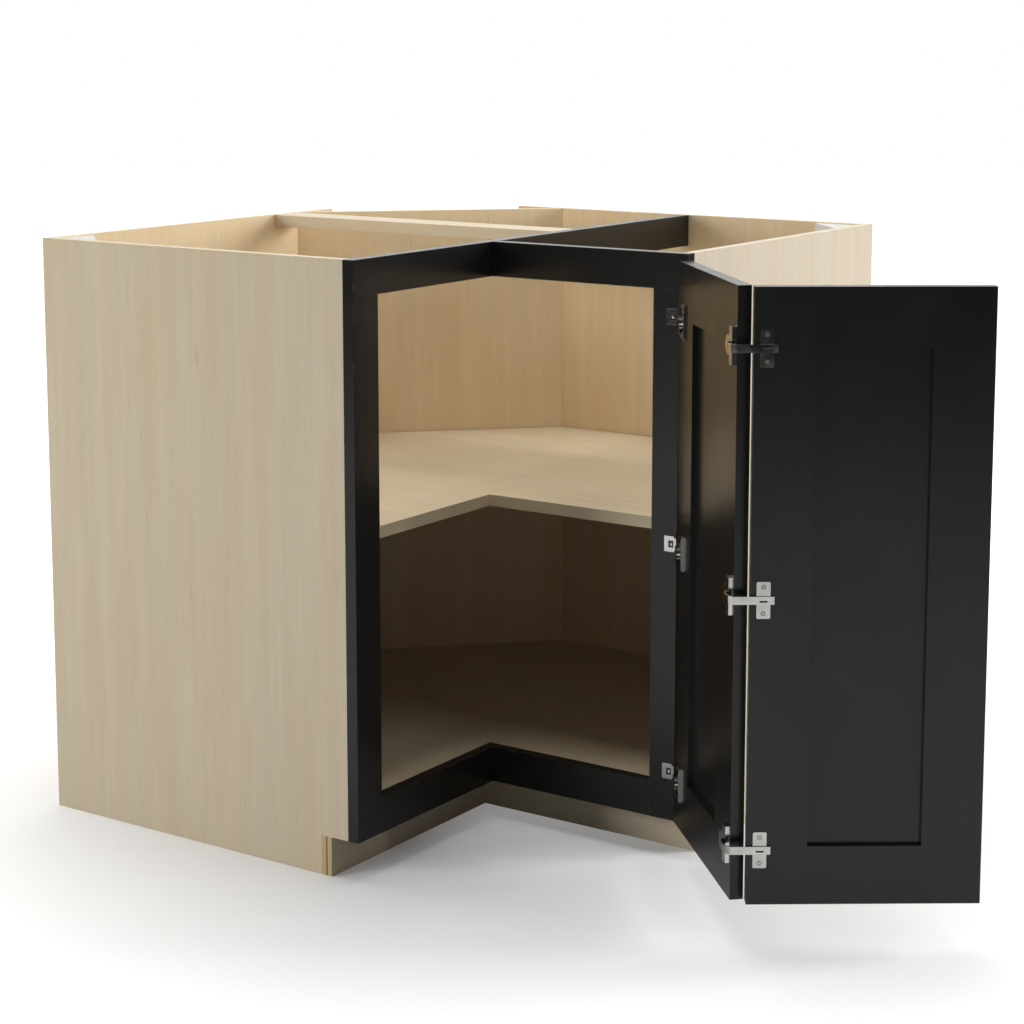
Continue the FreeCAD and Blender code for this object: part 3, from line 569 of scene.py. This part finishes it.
@dataclass(frozen=True, kw_only=True)
class HingeSteel(Finish):
    """Plated steel with fine brushing."""

    word: str = "steel"
    bright: Triple = (0.720, 0.710, 0.690)
    dull: Triple = (0.560, 0.548, 0.525)
    matt: float = 0.16
    glossy: float = 0.08
    rub_and_highlight_reach: float = 0.0015
    rub_and_highlight_share: float = 0.5
    blotch_scale: Triple = (3.0, 3.0, 3.0)
    brush_waves: Triple = (5200.0, 5200.0, 160.0)
    brush_span: Span = (0.3, 0.7)
    brush_dull: Span = (0.6, 1.0)
    bump_strength: float = 0.03
    bump_depth: float = 0.00002

    def lay(self, ground: Ground) -> Socket:
        """Lays the plating on one fitting.

        Args:
            ground: the material.

        Returns:
            The height of the bump.
        """
        bench = ground.bench
        closer = bench.vector("MULTIPLY", ground.turned, self.blotch_scale)
        sheen = bench.effect(ground.effects.uneven_sheen, Place=closer)
        brushing = bench.noise(ground.turned, self.brush_waves, 2.0)
        brushed = bench.ramp(brushing, *self.brush_span, *self.brush_dull)
        dullness = bench.sum("MULTIPLY", sheen["Blotch"], brushed)
        colour = bench.blend(dullness, self.bright, self.dull)
        # Painted highlight: the edges take the bright steel colour.
        colour = self.rub_and_highlight_edges(ground, colour, self.bright)
        rough = bench.ramp(dullness, 0.0, 1.0, self.glossy, self.matt)
        bench.fill(ground.shader, {"Base Color": colour, "Metallic": 1.0, "Roughness": rough})
        return brushing


@dataclass(frozen=True, kw_only=True)
class PalePlastic(Finish):
    """Moulded pale plastic."""

    word: str = "plastic"
    light: Triple = (0.760, 0.755, 0.735)
    shade: Triple = (0.660, 0.650, 0.620)
    matt: float = 0.50
    glossy: float = 0.36
    rub_and_highlight_reach: float = 0.002
    rub_and_highlight_share: float = 0.4
    milkiness: float = 0.05
    bump_strength: float = 0.08
    bump_depth: float = 0.0001

    def lay(self, ground: Ground) -> Socket:
        """Lays the skin of one moulding.

        Args:
            ground: the material.

        Returns:
            The height of the bump.
        """
        bench = ground.bench
        sheen = bench.effect(ground.effects.uneven_sheen, Place=ground.turned)
        colour = bench.blend(sheen["Blotch"], self.light, self.shade)
        # Painted highlight: the edges take the lighter plastic colour.
        colour = self.rub_and_highlight_edges(ground, colour, self.light)
        rough = bench.ramp(sheen["Blotch"], 0.0, 1.0, self.matt, self.glossy)
        given = {"Base Color": colour, "Roughness": rough, "Subsurface Weight": self.milkiness}
        bench.fill(ground.shader, given)
        return sheen["Ripple"]


@dataclass(frozen=True)
class EdgeRounding:
    """The small round that a maker's sanding or plating leaves on an edge."""

    width: float
    segments: int = 2
    angle: float = math.radians(30.0)
    flat_angle: float = math.radians(0.5)

    def apply(self, node: bpy.types.Object) -> None:
        """Rounds a piece's edges with modifiers, and leaves its own mesh as it is.

        Args:
            node: the piece.
        """
        normals = node.data.attributes.get("custom_normal")
        if normals is not None:
            node.data.attributes.remove(normals)
        node.data.shade_smooth()
        weld = node.modifiers.new("weld", "WELD")
        weld.merge_threshold = SAME_LEVEL
        flat = node.modifiers.new("flat_faces", "DECIMATE")
        flat.decimate_type = "DISSOLVE"
        flat.angle_limit = self.flat_angle
        bevel = node.modifiers.new("edge_round", "BEVEL")
        bevel.width = self.width
        bevel.segments = self.segments
        bevel.limit_method = "ANGLE"
        bevel.angle_limit = self.angle
        bevel.harden_normals = True
        bevel.use_clamp_overlap = True
        even = node.modifiers.new("even_normals", "WEIGHTED_NORMAL")
        even.keep_sharp = False


@dataclass
class SubAssembly:
    """A group of pieces that are finished together."""

    rounding: EdgeRounding
    slot: Slot
    figure_start: float
    figure_step: float = 1.7

    def finishes(self) -> dict[str, Finish]:
        """The finish of each piece, by the piece's name."""
        return {}

    def dress(self, nodes: Nodes, effects: SharedEffects) -> list[str]:
        """Rounds and finishes each piece.

        Args:
            nodes: the frame's pieces by name.
            effects: the shared effects.

        Returns:
            The names of the finished pieces.
        """
        done = []
        for count, (name, finish) in enumerate(self.finishes().items()):
            node = nodes[name]
            self.rounding.apply(node)
            material = finish.make(node, self.figure_start + self.figure_step * count, effects)
            node.data.materials.clear()
            node.data.materials.append(material)
            done.append(name)
        return done


@dataclass
class Carcass(SubAssembly):
    """The maple box: ends, backs, bottom, shelf, toe-kicks and stretcher."""

    rounding: EdgeRounding = EdgeRounding(0.0006)
    slot: Slot = Slot.MAPLE
    figure_start: float = 0.4
    # Painted light: a brighter copy of the maple for the back panels.
    painted_lit_inside: dict[str, Triple] = field(default_factory=lambda: {
        "pale": (0.850, 0.692, 0.464), "grey": (0.807, 0.647, 0.426), "blush": (0.822, 0.630, 0.386)})
    # Painted sheen: a paler, greyer copy of the maple for the right end panel.
    light: dict[str, Triple] = field(default_factory=lambda: {
        "pale": (0.765, 0.672, 0.532), "grey": (0.720, 0.629, 0.497), "blush": (0.735, 0.611, 0.454)})
    # Painted shade: a darker copy of the maple for the bottom panel and the shelf.
    painted_shade_laid: dict[str, Triple] = field(default_factory=lambda: {
        "pale": (0.696, 0.592, 0.420), "grey": (0.652, 0.548, 0.382), "blush": (0.672, 0.538, 0.348)})

    def finishes(self) -> dict[str, Finish]:
        """The maple of each board, with its grain the way the board was cut, and with painted light and shade
        in some boards' tones.

        Returns:
            The finishes by the boards' names.
        """
        return {
            "left_end_panel": MaplePly(),
            "right_end_panel": MaplePly(**self.light),
            "left_back_panel": MaplePly(**self.painted_lit_inside),
            "right_back_panel": MaplePly(**self.painted_lit_inside),
            "diagonal_back_panel": MaplePly(**self.painted_lit_inside),
            "bottom_panel": MaplePly(grain=Axis.Y, **self.painted_shade_laid),
            "shelf": MaplePly(grain=Axis.Y, **self.painted_shade_laid),
            "worktop_stretcher": MaplePly(grain=Axis.Y),
            "left_toe_kick": MaplePly(grain=Axis.X, across=Axis.Y, edge=PlyEdge.BARE),
            "right_toe_kick": MaplePly(grain=Axis.Y, across=Axis.X, edge=PlyEdge.BARE),
        }


@dataclass
class FaceFrame(SubAssembly):
    """The black stiles and rails round the opening."""

    rounding: EdgeRounding = EdgeRounding(0.0004)
    slot: Slot = Slot.BLACK
    figure_start: float = 31.0

    def finishes(self) -> dict[str, Finish]:
        """Black paint, with the wood's grain along each stile and rail.

        Returns:
            The finishes by the pieces' names.
        """
        return {
            "left_stile": BlackPaint(),
            "right_stile": BlackPaint(),
            "left_top_rail": BlackPaint(grain=Axis.X),
            "right_top_rail": BlackPaint(grain=Axis.Y),
            "left_bottom_rail": BlackPaint(grain=Axis.X),
            "right_bottom_rail": BlackPaint(grain=Axis.Y),
        }


@dataclass
class FramedDoor(SubAssembly):
    """A black door of two stiles, two rails and a panel."""

    name: str = ""
    outer_stile: str = ""
    rounding: EdgeRounding = EdgeRounding(0.0002)
    slot: Slot = Slot.BLACK
    figure_start: float = 52.0

    def finishes(self) -> dict[str, Finish]:
        """Black paint, with the wood's grain along each stile and rail.

        Returns:
            The finishes by the pieces' names.
        """
        return {
            f"{self.name}_{self.outer_stile}": BlackPaint(),
            f"{self.name}_fold_stile": BlackPaint(),
            f"{self.name}_top_rail": BlackPaint(grain=Axis.Y),
            f"{self.name}_bottom_rail": BlackPaint(grain=Axis.Y),
            f"{self.name}_panel": BlackPaint(),
        }


@dataclass
class Hinges(SubAssembly):
    """The plated hinges and their pins."""

    rounding: EdgeRounding = EdgeRounding(0.00025)
    slot: Slot = Slot.STEEL
    figure_start: float = 73.0
    shaped: tuple[str, ...] = ("frame_hinge_plate", "frame_hinge_cup", "fold_hinge_cup", "fold_hinge_plate",
                               "fold_hinge_arm")
    small: tuple[str, ...] = ("frame_hinge_pins",)
    pocket_depth: float = 0.001
    pocket_play: float = 0.0002
    # Painted shade: a near-black copy of the steel for the pocket floors.
    shadowed: HingeSteel = HingeSteel(word="pocket", bright=(0.060, 0.058, 0.055), dull=(0.025, 0.024, 0.022),
                                      matt=0.6, glossy=0.45)

    def finishes(self) -> dict[str, Finish]:
        """Plated steel, brushed along each piece."""
        names = [f"{shape}_{height}" for shape in self.shaped for height in HINGE_HEIGHTS]
        return {name: HingeSteel() for name in (*names, *self.small)}

    def dress(self, nodes: Nodes, effects: SharedEffects) -> list[str]:
        """Finishes each piece, and paints shade on the pocket floors of the frame plates.

        Args:
            nodes: the frame's pieces by name.
            effects: the shared effects.

        Returns:
            The names of the finished pieces.
        """
        done = super().dress(nodes, effects)
        for height in HINGE_HEIGHTS:
            plate = nodes[f"frame_hinge_plate_{height}"]
            plate.data.materials.append(self.shadowed.make(plate, self.figure_start, effects))
            # The faces at the pocket's depth take the painted shade.
            facing = [face for face in plate.data.polygons if face.normal.x < -SQUARE_ON]
            front = max(facing, key=lambda face: face.area).center.x
            for face in facing:
                if abs(face.center.x - front - self.pocket_depth) < self.pocket_play:
                    face.material_index = 1
        return done


@dataclass
class SmallSteel(SubAssembly):
    """The screws of the corner blocks, and the pegs that carry the shelf."""

    rounding: EdgeRounding = EdgeRounding(0.0003)
    slot: Slot = Slot.STEEL
    figure_start: float = 85.0

    def finishes(self) -> dict[str, Finish]:
        """Plated steel on each piece."""
        return {name: HingeSteel() for name in ("corner_block_screws", "shelf_supports")}


@dataclass
class Mouldings(SubAssembly):
    """The plastic corner blocks."""

    rounding: EdgeRounding = EdgeRounding(0.0006)
    slot: Slot = Slot.PLASTIC
    figure_start: float = 94.0

    def finishes(self) -> dict[str, Finish]:
        """Pale plastic on each moulding."""
        return {name: PalePlastic() for name in ("left_corner_block", "right_corner_block")}


def islands(node: bpy.types.Object) -> list[list[Vector]]:
    """Parts a piece into its separate solids.

    Args:
        node: the piece.

    Returns:
        The corners of each solid.
    """
    shape = bmesh.new()
    shape.from_mesh(node.data)
    bmesh.ops.remove_doubles(shape, verts=shape.verts, dist=SAME_POINT)
    reached = set()
    found = []
    for first in shape.verts:
        if first in reached:
            continue
        reached.add(first)
        stack = [first]
        corners = []
        while stack:
            vert = stack.pop()
            corners.append(vert.co.copy())
            for edge in vert.link_edges:
                other = edge.other_vert(vert)
                if other not in reached:
                    reached.add(other)
                    stack.append(other)
        found.append(corners)
    shape.free()
    return sorted(found, key=lambda corners: sum(corner.z for corner in corners))


def ring(shape: bmesh.types.BMesh, radius: float, level: float, count: int) -> Loop:
    """Adds a ring of corners round Z."""
    turns = [2.0 * math.pi * step / count for step in range(count)]
    return [shape.verts.new((radius * math.cos(turn), radius * math.sin(turn), level)) for turn in turns]


def soft_square(shape: bmesh.types.BMesh, place: Vector, wide: float, tall: float, power: float,
                count: int) -> Loop:
    """Adds a loop of corners across X, between round and square.

    Args:
        shape: the shape to add to.
        place: the loop's centre.
        wide: half the loop's width, along Y.
        tall: half the loop's height, along Z.
        power: 2 for a round loop, more for a squarer one.
        count: how many corners.

    Returns:
        The corners.
    """
    loop = []
    for step in range(count):
        turn = 2.0 * math.pi * (step + 0.5) / count
        cosine = math.cos(turn)
        sine = math.sin(turn)
        side = math.copysign(abs(cosine) ** (2.0 / power), cosine)
        rise = math.copysign(abs(sine) ** (2.0 / power), sine)
        loop.append(shape.verts.new(place + Vector((0.0, wide * side, tall * rise))))
    return loop


def skin(shape: bmesh.types.BMesh, first: Loop, second: Loop) -> None:
    """Joins two loops of the same length with faces.

    Args:
        shape: the shape to add to.
        first: the first loop.
        second: the second loop.
    """
    for step, corner in enumerate(first):
        after = (step + 1) % len(first)
        shape.faces.new((corner, first[after], second[after], second[step]))


def new_piece(name: str, shape: bmesh.types.BMesh, smooth_angle: float) -> bpy.types.Object:
    """Makes an object of a shape.

    Args:
        name: the object's name.
        shape: the shape, which is freed.
        smooth_angle: edges sharper than this stay sharp.

    Returns:
        The object, in the scene.
    """
    bmesh.ops.recalc_face_normals(shape, faces=shape.faces)
    mesh = bpy.data.meshes.new(name)
    shape.to_mesh(mesh)
    shape.free()
    mesh.shade_smooth()
    mesh.set_sharp_from_angle(angle=smooth_angle)
    piece = bpy.data.objects.new(name, mesh)
    bpy.context.scene.collection.objects.link(piece)
    return piece


@dataclass(kw_only=True)
class DetailedScrews:
    """Screws with detailed heads, where the frame has plain ones."""

    source: str
    body: str
    figure_start: float
    finish: HingeSteel
    smooth_angle: float = math.radians(40.0)

    def build(self, nodes: Nodes, effects: SharedEffects) -> str:
        """Builds the screws and puts them in place of the plain ones.

        Args:
            nodes: the frame's pieces by name.
            effects: the shared effects.

        Returns:
            The new piece's name.
        """
        shape = bmesh.new()
        for corners in islands(nodes[self.source]):
            self.screw(shape, corners)
        piece = new_piece(f"{self.finish.word}_{self.source}", shape, self.smooth_angle)
        piece.data.materials.append(self.finish.make(nodes[self.source], self.figure_start, effects))
        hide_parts(self.source)
        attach(piece, self.body)
        return piece.name

    def screw(self, shape: bmesh.types.BMesh, corners: list[Vector]) -> None:
        """Adds one screw to the shape, where a plain one with these corners stands."""
        raise NotImplementedError


@dataclass(kw_only=True)
class CrossHeadScrews(DetailedScrews):
    """Pan-head screws with a cross recess."""

    axis: Triple
    figure_start: float = 88.0
    segments: int = 28
    shoulder: float = 0.9
    shoulder_drop: float = 0.00035
    shoulder_rise: float = 0.3
    drop_limit: float = 0.4
    crown: float = 0.62
    arm_share: float = 0.52
    arm_half_width: float = 0.13
    recess_depth: float = 0.0009
    recess_limit: float = 0.6
    recess_taper: float = 0.7
    shank_share: float = 0.5
    point_share: float = 0.85
    finish: HingeSteel = HingeSteel(word="cross_head", bright=(0.640, 0.628, 0.605),
                                    dull=(0.470, 0.458, 0.435), matt=0.30, glossy=0.20)

    def screw(self, shape: bmesh.types.BMesh, corners: list[Vector]) -> None:
        """Adds one screw where a plain one stands.

        Args:
            shape: the shape to add to.
            corners: the corners of the plain screw.
        """
        out = self._outward(corners)
        levels = [corner.dot(out) for corner in corners]
        top, tip = max(levels), min(levels)
        head = [corner for corner, level in zip(corners, levels) if top - level < SAME_LEVEL]
        centre = sum(head, Vector()) / len(head)
        radius = max((corner - centre).length for corner in head)
        wide = [level for corner, level in zip(corners, levels)
                if (corner - centre + out * (top - level)).length > RIM_SHARE * radius]
        thick = top - min(wide)
        part = bmesh.new()
        rim = self._head(part, radius, thick, top - tip)
        self._recess(part, rim, radius, thick)
        turn = out.to_track_quat("Z", "Y").to_matrix().to_4x4()
        turn.translation = centre
        part.transform(turn)
        mesh = bpy.data.meshes.new("one_screw")
        part.to_mesh(mesh)
        part.free()
        shape.from_mesh(mesh)
        bpy.data.meshes.remove(mesh)

    def _outward(self, corners: list[Vector]) -> Vector:
        """The way a screw's head faces, from which of its ends is the wider.

        Args:
            corners: the corners of the plain screw.

        Returns:
            The direction.
        """
        way = Vector(self.axis).normalized()
        levels = [corner.dot(way) for corner in corners]
        spread = []
        for end in (max(levels), min(levels)):
            flat = [corner for corner, level in zip(corners, levels) if abs(end - level) < SAME_LEVEL]
            middle = sum(flat, Vector()) / len(flat)
            spread.append(max((corner - middle).length for corner in flat))
        return way if spread[0] >= spread[1] else -way

    def _head(self, part: bmesh.types.BMesh, radius: float, thick: float, length: float) -> Loop:
        """Adds a head and its shank, with the crown at zero and the tip below.

        Args:
            part: the shape to add to.
            radius: the head's radius.
            thick: the head's thickness.
            length: the screw's length.

        Returns:
            The ring round the crown, which is still open.
        """
        drop = min(self.shoulder_drop, self.drop_limit * thick)
        outline = (
            (self.crown * radius, 0.0),
            (self.shoulder * radius, -self.shoulder_rise * drop),
            (radius, -drop),
            (radius, -thick),
            (self.shank_share * radius, -thick),
            (self.shank_share * radius, -self.point_share * length),
        )
        rings = [ring(part, reach, level, self.segments) for reach, level in outline]
        for first, second in zip(rings, rings[1:]):
            skin(part, first, second)
        tip = part.verts.new((0.0, 0.0, -length))
        for step, corner in enumerate(rings[-1]):
            part.faces.new((corner, rings[-1][(step + 1) % self.segments], tip))
        return rings[0]

    def _recess(self, part: bmesh.types.BMesh, rim: Loop, radius: float, thick: float) -> None:
        """Closes the crown with a sunk cross.

        Args:
            part: the shape to add to.
            rim: the ring round the crown.
            radius: the head's radius.
            thick: the head's thickness.
        """
        far = self.arm_share * radius
        near = self.arm_half_width * radius
        quarter = [(near, far), (near, near), (far, near)]
        cross = []
        for turn in range(4):
            cosine = math.cos(-math.pi / 2.0 * turn)
            sine = math.sin(-math.pi / 2.0 * turn)
            cross += [(x * cosine - y * sine, x * sine + y * cosine) for x, y in quarter]
        lip = [part.verts.new((x, y, 0.0)) for x, y in cross]
        depth = min(self.recess_depth, self.recess_limit * thick)
        bed = [part.verts.new((x * self.recess_taper, y * self.recess_taper, -depth)) for x, y in cross]
        skin(part, lip, bed)
        part.faces.new(bed)
        edges = []
        for loop in (rim, lip):
            edges += [part.edges.get(pair) for pair in zip(loop, loop[1:] + loop[:1])]
        bmesh.ops.triangle_fill(part, use_beauty=True, edges=edges)


@dataclass(kw_only=True)
class SquareHeadScrews(DetailedScrews):
    """Small soft-cornered screw heads, sunk in the pockets of the frame hinge plates."""

    source: str = "frame_hinge_screws"
    body: str = "cabinet"
    figure_start: float = 89.0
    count: int = 32
    squareness: float = 6.0
    width_share: float = 0.74
    tall_share: float = 0.74
    crown_share: float = 0.76
    shoulder_drop: float = 0.0003
    floor_gap: float = 0.00002
    shank_share: float = 0.85
    finish: HingeSteel = HingeSteel(word="square_head")

    def screw(self, shape: bmesh.types.BMesh, corners: list[Vector]) -> None:
        """Adds one screw where a plain one stands.

        Args:
            shape: the shape to add to.
            corners: the corners of the plain screw.
        """
        front = min(corner.x for corner in corners)
        tip = max(corner.x for corner in corners)
        face = [corner for corner in corners if corner.x - front < SAME_LEVEL]
        middle = sum(face, Vector()) / len(face)
        wide = max(abs(corner.y - middle.y) for corner in face)
        tall = max(abs(corner.z - middle.z) for corner in face)
        floor = max(corner.x for corner in corners if abs(corner.y - middle.y) > RIM_SHARE * wide)
        across = self.width_share * wide
        upright = self.tall_share * tall
        shank = self.shank_share * min(across, upright)
        outline = (
            (front, self.crown_share * across, self.crown_share * upright, self.squareness),
            (front + self.shoulder_drop, across, upright, self.squareness),
            (floor - self.floor_gap, across, upright, self.squareness),
            (floor - self.floor_gap, shank, shank, ROUND),
            (tip, shank, shank, ROUND),
        )
        loops = [soft_square(shape, Vector((level, middle.y, middle.z)), half, rise, power, self.count)
                 for level, half, rise, power in outline]
        for first, second in zip(loops, loops[1:]):
            skin(shape, first, second)
        shape.faces.new(loops[0])
        shape.faces.new(loops[-1])


@dataclass
class SlotShadeStrips:
    """A dark curved strip in the slot of each fold hinge arm: painted shade for the slot's dark hollow."""

    body: str = "folding_door"
    figure_start: float = 91.0
    steps: int = 10
    side_gap: float = 0.00015
    end_gap: float = 0.0003
    low: float = 0.0002
    rise: float = 0.0006
    thick: float = 0.00025
    wall_margin: float = 0.001
    least_slot: float = 0.0005
    front_facing: float = 0.5
    smooth_angle: float = math.radians(35.0)
    # Painted shade: a near-black copy of the steel for the strips.
    finish: HingeSteel = HingeSteel(word="leaf", bright=(0.050, 0.048, 0.045), dull=(0.020, 0.019, 0.018),
                                    matt=0.55, glossy=0.40)

    def build(self, nodes: Nodes, effects: SharedEffects) -> list[str]:
        """Builds a dark strip of painted shade in each arm's slot.

        Args:
            nodes: the frame's pieces by name.
            effects: the shared effects.

        Returns:
            The new pieces' names.
        """
        names = []
        for height in HINGE_HEIGHTS:
            arm = nodes[f"fold_hinge_arm_{height}"]
            piece = self._leaf(f"fold_arm_leaf_{height}", arm)
            piece.data.materials.append(self.finish.make(arm, self.figure_start, effects))
            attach(piece, self.body)
            names.append(piece.name)
        return names

    def _leaf(self, name: str, arm: bpy.types.Object) -> bpy.types.Object:
        """Curves one strip of painted shade into an arm's slot.

        Args:
            name: the new piece's name.
            arm: the hinge arm.

        Returns:
            The strip.
        """
        mesh = arm.data
        top = max(vert.co.z for vert in mesh.vertices)
        floor = [face for face in mesh.polygons
                 if face.normal.z > SQUARE_ON and top - face.center.z > self.wall_margin]
        corners = [mesh.vertices[index].co for face in floor for index in face.vertices]
        roof = [face.center.z for face in mesh.polygons if face.normal.z < -SQUARE_ON]
        bottom = corners[0].z
        ceiling = min(level for level in roof if level > bottom + self.least_slot)
        fronts = [face for face in mesh.polygons if face.normal.x < -self.front_facing]
        out = max(fronts, key=lambda face: face.area).normal.copy()
        along = out.cross(Vector((0.0, 0.0, 1.0))).normalized()
        reach = [corner.dot(along) for corner in corners]
        deep = min(corner.dot(out) for corner in corners)
        lower = bottom + self.side_gap
        upper = ceiling - self.side_gap
        shape = bmesh.new()
        rows = []
        for step in range(self.steps + 1):
            share = step / self.steps
            place = min(reach) + self.end_gap + share * (max(reach) - min(reach) - 2.0 * self.end_gap)
            lift = deep + self.low + self.rise * math.sin(math.pi * share)
            row = []
            for level, extra in ((lower, 0.0), (upper, 0.0), (upper, self.thick), (lower, self.thick)):
                spot = along * place + out * (lift + extra)
                row.append(shape.verts.new((spot.x, spot.y, level)))
            rows.append(row)
        for first, second in zip(rows, rows[1:]):
            skin(shape, first, second)
        shape.faces.new(rows[0])
        shape.faces.new(rows[-1])
        return new_piece(name, shape, self.smooth_angle)


@dataclass(frozen=True)
class Lamp:
    """A soft square lamp."""

    name: str
    place: Triple
    size: float
    power: float
    shines: bool = True

    def hang(self, target: Vector) -> None:
        """Hangs the lamp, pointed at a target.

        Args:
            target: where it points.
        """
        data = bpy.data.lights.new(self.name, "AREA")
        data.size = self.size
        data.energy = self.power
        lamp = bpy.data.objects.new(self.name, data)
        lamp.location = self.place
        lamp.visible_glossy = self.shines
        lamp.rotation_euler = (target - Vector(self.place)).to_track_quat("-Z", "Y").to_euler()
        bpy.context.scene.collection.objects.link(lamp)


@dataclass
class Studio:
    """The floor, the lamps and the sky round the cabinet."""

    centre: Triple = (-0.50, -0.65, 0.0)
    aim_height: float = 0.45
    floor_radius: float = 16.0
    floor_sides: int = 96
    floor_tone: float = 0.80
    floor_rough: float = 0.9
    floor_waves: Triple = (7.0, 7.0, 7.0)
    floor_span: Span = (0.2, 0.8)
    floor_light: Span = (0.985, 1.0)
    bounce: Span = (0.35, 0.03)
    bounce_range: Span = (3.0, 5.2)
    glow: Span = (0.07, 1.0)
    glow_range: Span = (0.20, 2.2)
    notch_glow: float = 0.16
    notch_range: Span = (0.05, 0.32)
    shine_level: float = 0.36
    shine_rise: Span = (0.25, 0.95)
    shine_fall: Span = (3.6, 5.4)
    sky_top: Triple = (0.0, 0.0, 0.0)
    sky_top_span: Span = (0.5, 1.0)
    sky_level: Span = (0.168, 1.0)
    sky_span: Span = (-0.2, 0.9)
    behind: Triple = (0.83, 0.55, 0.0)
    lamps: tuple[Lamp, ...] = (
        Lamp("right_lamp", (2.0, -4.2, 1.8), 1.6, 146.0, shines=False),
        Lamp("left_lamp", (-4.3, 1.7, 1.5), 1.6, 89.0, shines=False),
        Lamp("top_lamp", (-0.4, 0.0, 4.6), 2.6, 99.0),
        Lamp("fill_lamp", (-0.6, -2.4, 3.4), 1.6, 18.0, shines=False),
    )

    def build(self) -> None:
        """Sets the studio up."""
        self._floor()
        self._sky()
        for lamp in self.lamps:
            lamp.hang(Vector(self.centre) + Vector((0.0, 0.0, self.aim_height)))

    def _floor(self) -> None:
        """Lays a pale round floor that fades to white away from the cabinet."""
        shape = bmesh.new()
        bmesh.ops.create_circle(shape, cap_ends=True, segments=self.floor_sides, radius=self.floor_radius)
        mesh = bpy.data.meshes.new("floor")
        shape.to_mesh(mesh)
        shape.free()
        floor = bpy.data.objects.new("floor", mesh)
        floor.location = self.centre
        bpy.context.scene.collection.objects.link(floor)
        floor.data.materials.append(self._floor_finish())

    def _floor_finish(self) -> bpy.types.Material:
        """Makes the floor's finish, with more light of its own to the camera and to mirrors further out.

        Returns:
            The material.
        """
        material, bench, shader = new_finish("pale_floor")
        place = bench.add("ShaderNodeTexCoord").outputs["Object"]
        away = bench.vector("LENGTH", place)
        path = bench.add("ShaderNodeLightPath")
        bounce = bench.ramp(away, *self.bounce_range, *self.bounce)
        tone = bench.ramp(path.outputs["Is Camera Ray"], 0.0, 1.0, bounce, self.floor_tone)
        grain = bench.ramp(bench.noise(place, self.floor_waves, 4.0), *self.floor_span, *self.floor_light)
        colour = bench.grey(bench.sum("MULTIPLY", tone, grain))
        bench.fill(shader, {"Base Color": colour, "Roughness": self.floor_rough, "Specular IOR Level": 0.0})
        glow = bench.ramp(away, *self.glow_range, *self.glow)
        notch = bench.ramp(away, *self.notch_range, self.notch_glow, 0.0)
        rise = bench.ramp(away, *self.shine_rise)
        fall = bench.ramp(away, *self.shine_fall, self.shine_level, 0.0)
        seen = bench.sum("MULTIPLY", path.outputs["Is Camera Ray"], bench.sum("ADD", glow, notch))
        shine = bench.sum("MULTIPLY", path.outputs["Is Glossy Ray"], bench.sum("MULTIPLY", rise, fall))
        light = bench.grey(bench.sum("ADD", seen, shine))
        bench.fill(shader, {"Emission Color": light, "Emission Strength": 1.0})
        return material

    def _sky(self) -> None:
        """Sets a sky that is white to the camera, bright behind, and dim in front and overhead."""
        world = bpy.data.worlds.new("studio_sky")
        bpy.context.scene.world = world
        world.use_nodes = True
        world.node_tree.nodes.clear()
        bench = NodeBench(world.node_tree)
        direction = bench.add("ShaderNodeTexCoord").outputs["Generated"]
        toward = bench.vector("DOT_PRODUCT", direction, self.behind)
        level = bench.ramp(toward, *self.sky_span, *self.sky_level)
        height = bench.ramp(bench.split(direction)[Axis.Z.value], *self.sky_top_span)
        colour = bench.blend(height, bench.grey(level), self.sky_top)
        light = bench.add("ShaderNodeBackground", {"Color": colour})
        white = bench.add("ShaderNodeBackground", {"Color": (1.0, 1.0, 1.0, 1.0)})
        path = bench.add("ShaderNodeLightPath")
        given = {0: path.outputs["Is Camera Ray"], 1: light.outputs[0], 2: white.outputs[0]}
        choose = bench.add("ShaderNodeMixShader", given)
        bench.add("ShaderNodeOutputWorld", {"Surface": choose.outputs[0]})


@dataclass
class PhotoCamera:
    """The camera where the photograph was taken from."""

    place: Triple = (-3.3487, -2.5052, 1.1911)
    yaw: float = 0.97211
    pitch: float = 0.14385
    lens: float = 81.19
    sensor: float = 36.0
    shift: float = -0.15

    def stand(self) -> None:
        """Makes the camera and sets it as the scene's own."""
        data = bpy.data.cameras.new("photo_camera")
        data.sensor_width = self.sensor
        data.lens = self.lens
        data.shift_y = self.shift
        camera = bpy.data.objects.new("photo_camera", data)
        camera.location = self.place
        camera.rotation_euler = (math.pi / 2.0 - self.pitch, 0.0, -self.yaw)
        bpy.context.scene.collection.objects.link(camera)
        bpy.context.scene.camera = camera
        bpy.context.scene.view_settings.view_transform = "Standard"


def door_normal(panel: bpy.types.Object) -> Triple:
    """The direction a door's panel faces, from its largest face."""
    return tuple(max(panel.data.polygons, key=lambda face: face.area).normal)


def main() -> None:
    """Loads the frame, finishes each sub-assembly and sets up the picture."""
    logging.basicConfig(level=logging.INFO, format="%(message)s")
    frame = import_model()
    nodes = frame["nodes"]
    effects = SharedEffects()
    assemblies = [
        Carcass(),
        FaceFrame(),
        FramedDoor(name="hinged_door", outer_stile="hinge_stile"),
        FramedDoor(name="folding_door", outer_stile="free_stile", figure_start=61.0),
        Hinges(),
        SmallSteel(),
        Mouldings(),
    ]
    for assembly in assemblies:
        for name in assembly.dress(nodes, effects):
            LOG.info("finished %s in %s", name, assembly.slot.value)
    hinged_way = door_normal(nodes["hinged_door_panel"])
    folding_way = door_normal(nodes["folding_door_panel"])
    screws = [
        CrossHeadScrews(source="fold_plate_screws", body="folding_door", axis=folding_way),
        CrossHeadScrews(source="frame_cup_screws", body="hinged_door", axis=hinged_way),
        CrossHeadScrews(source="fold_cup_screws", body="hinged_door", axis=hinged_way),
        SquareHeadScrews(),
    ]
    for group in screws:
        LOG.info("built %s", group.build(nodes, effects))
    for name in SlotShadeStrips().build(nodes, effects):
        LOG.info("built %s", name)
    Studio().build()
    PhotoCamera().stand()


if __name__ == "__main__":
    main()
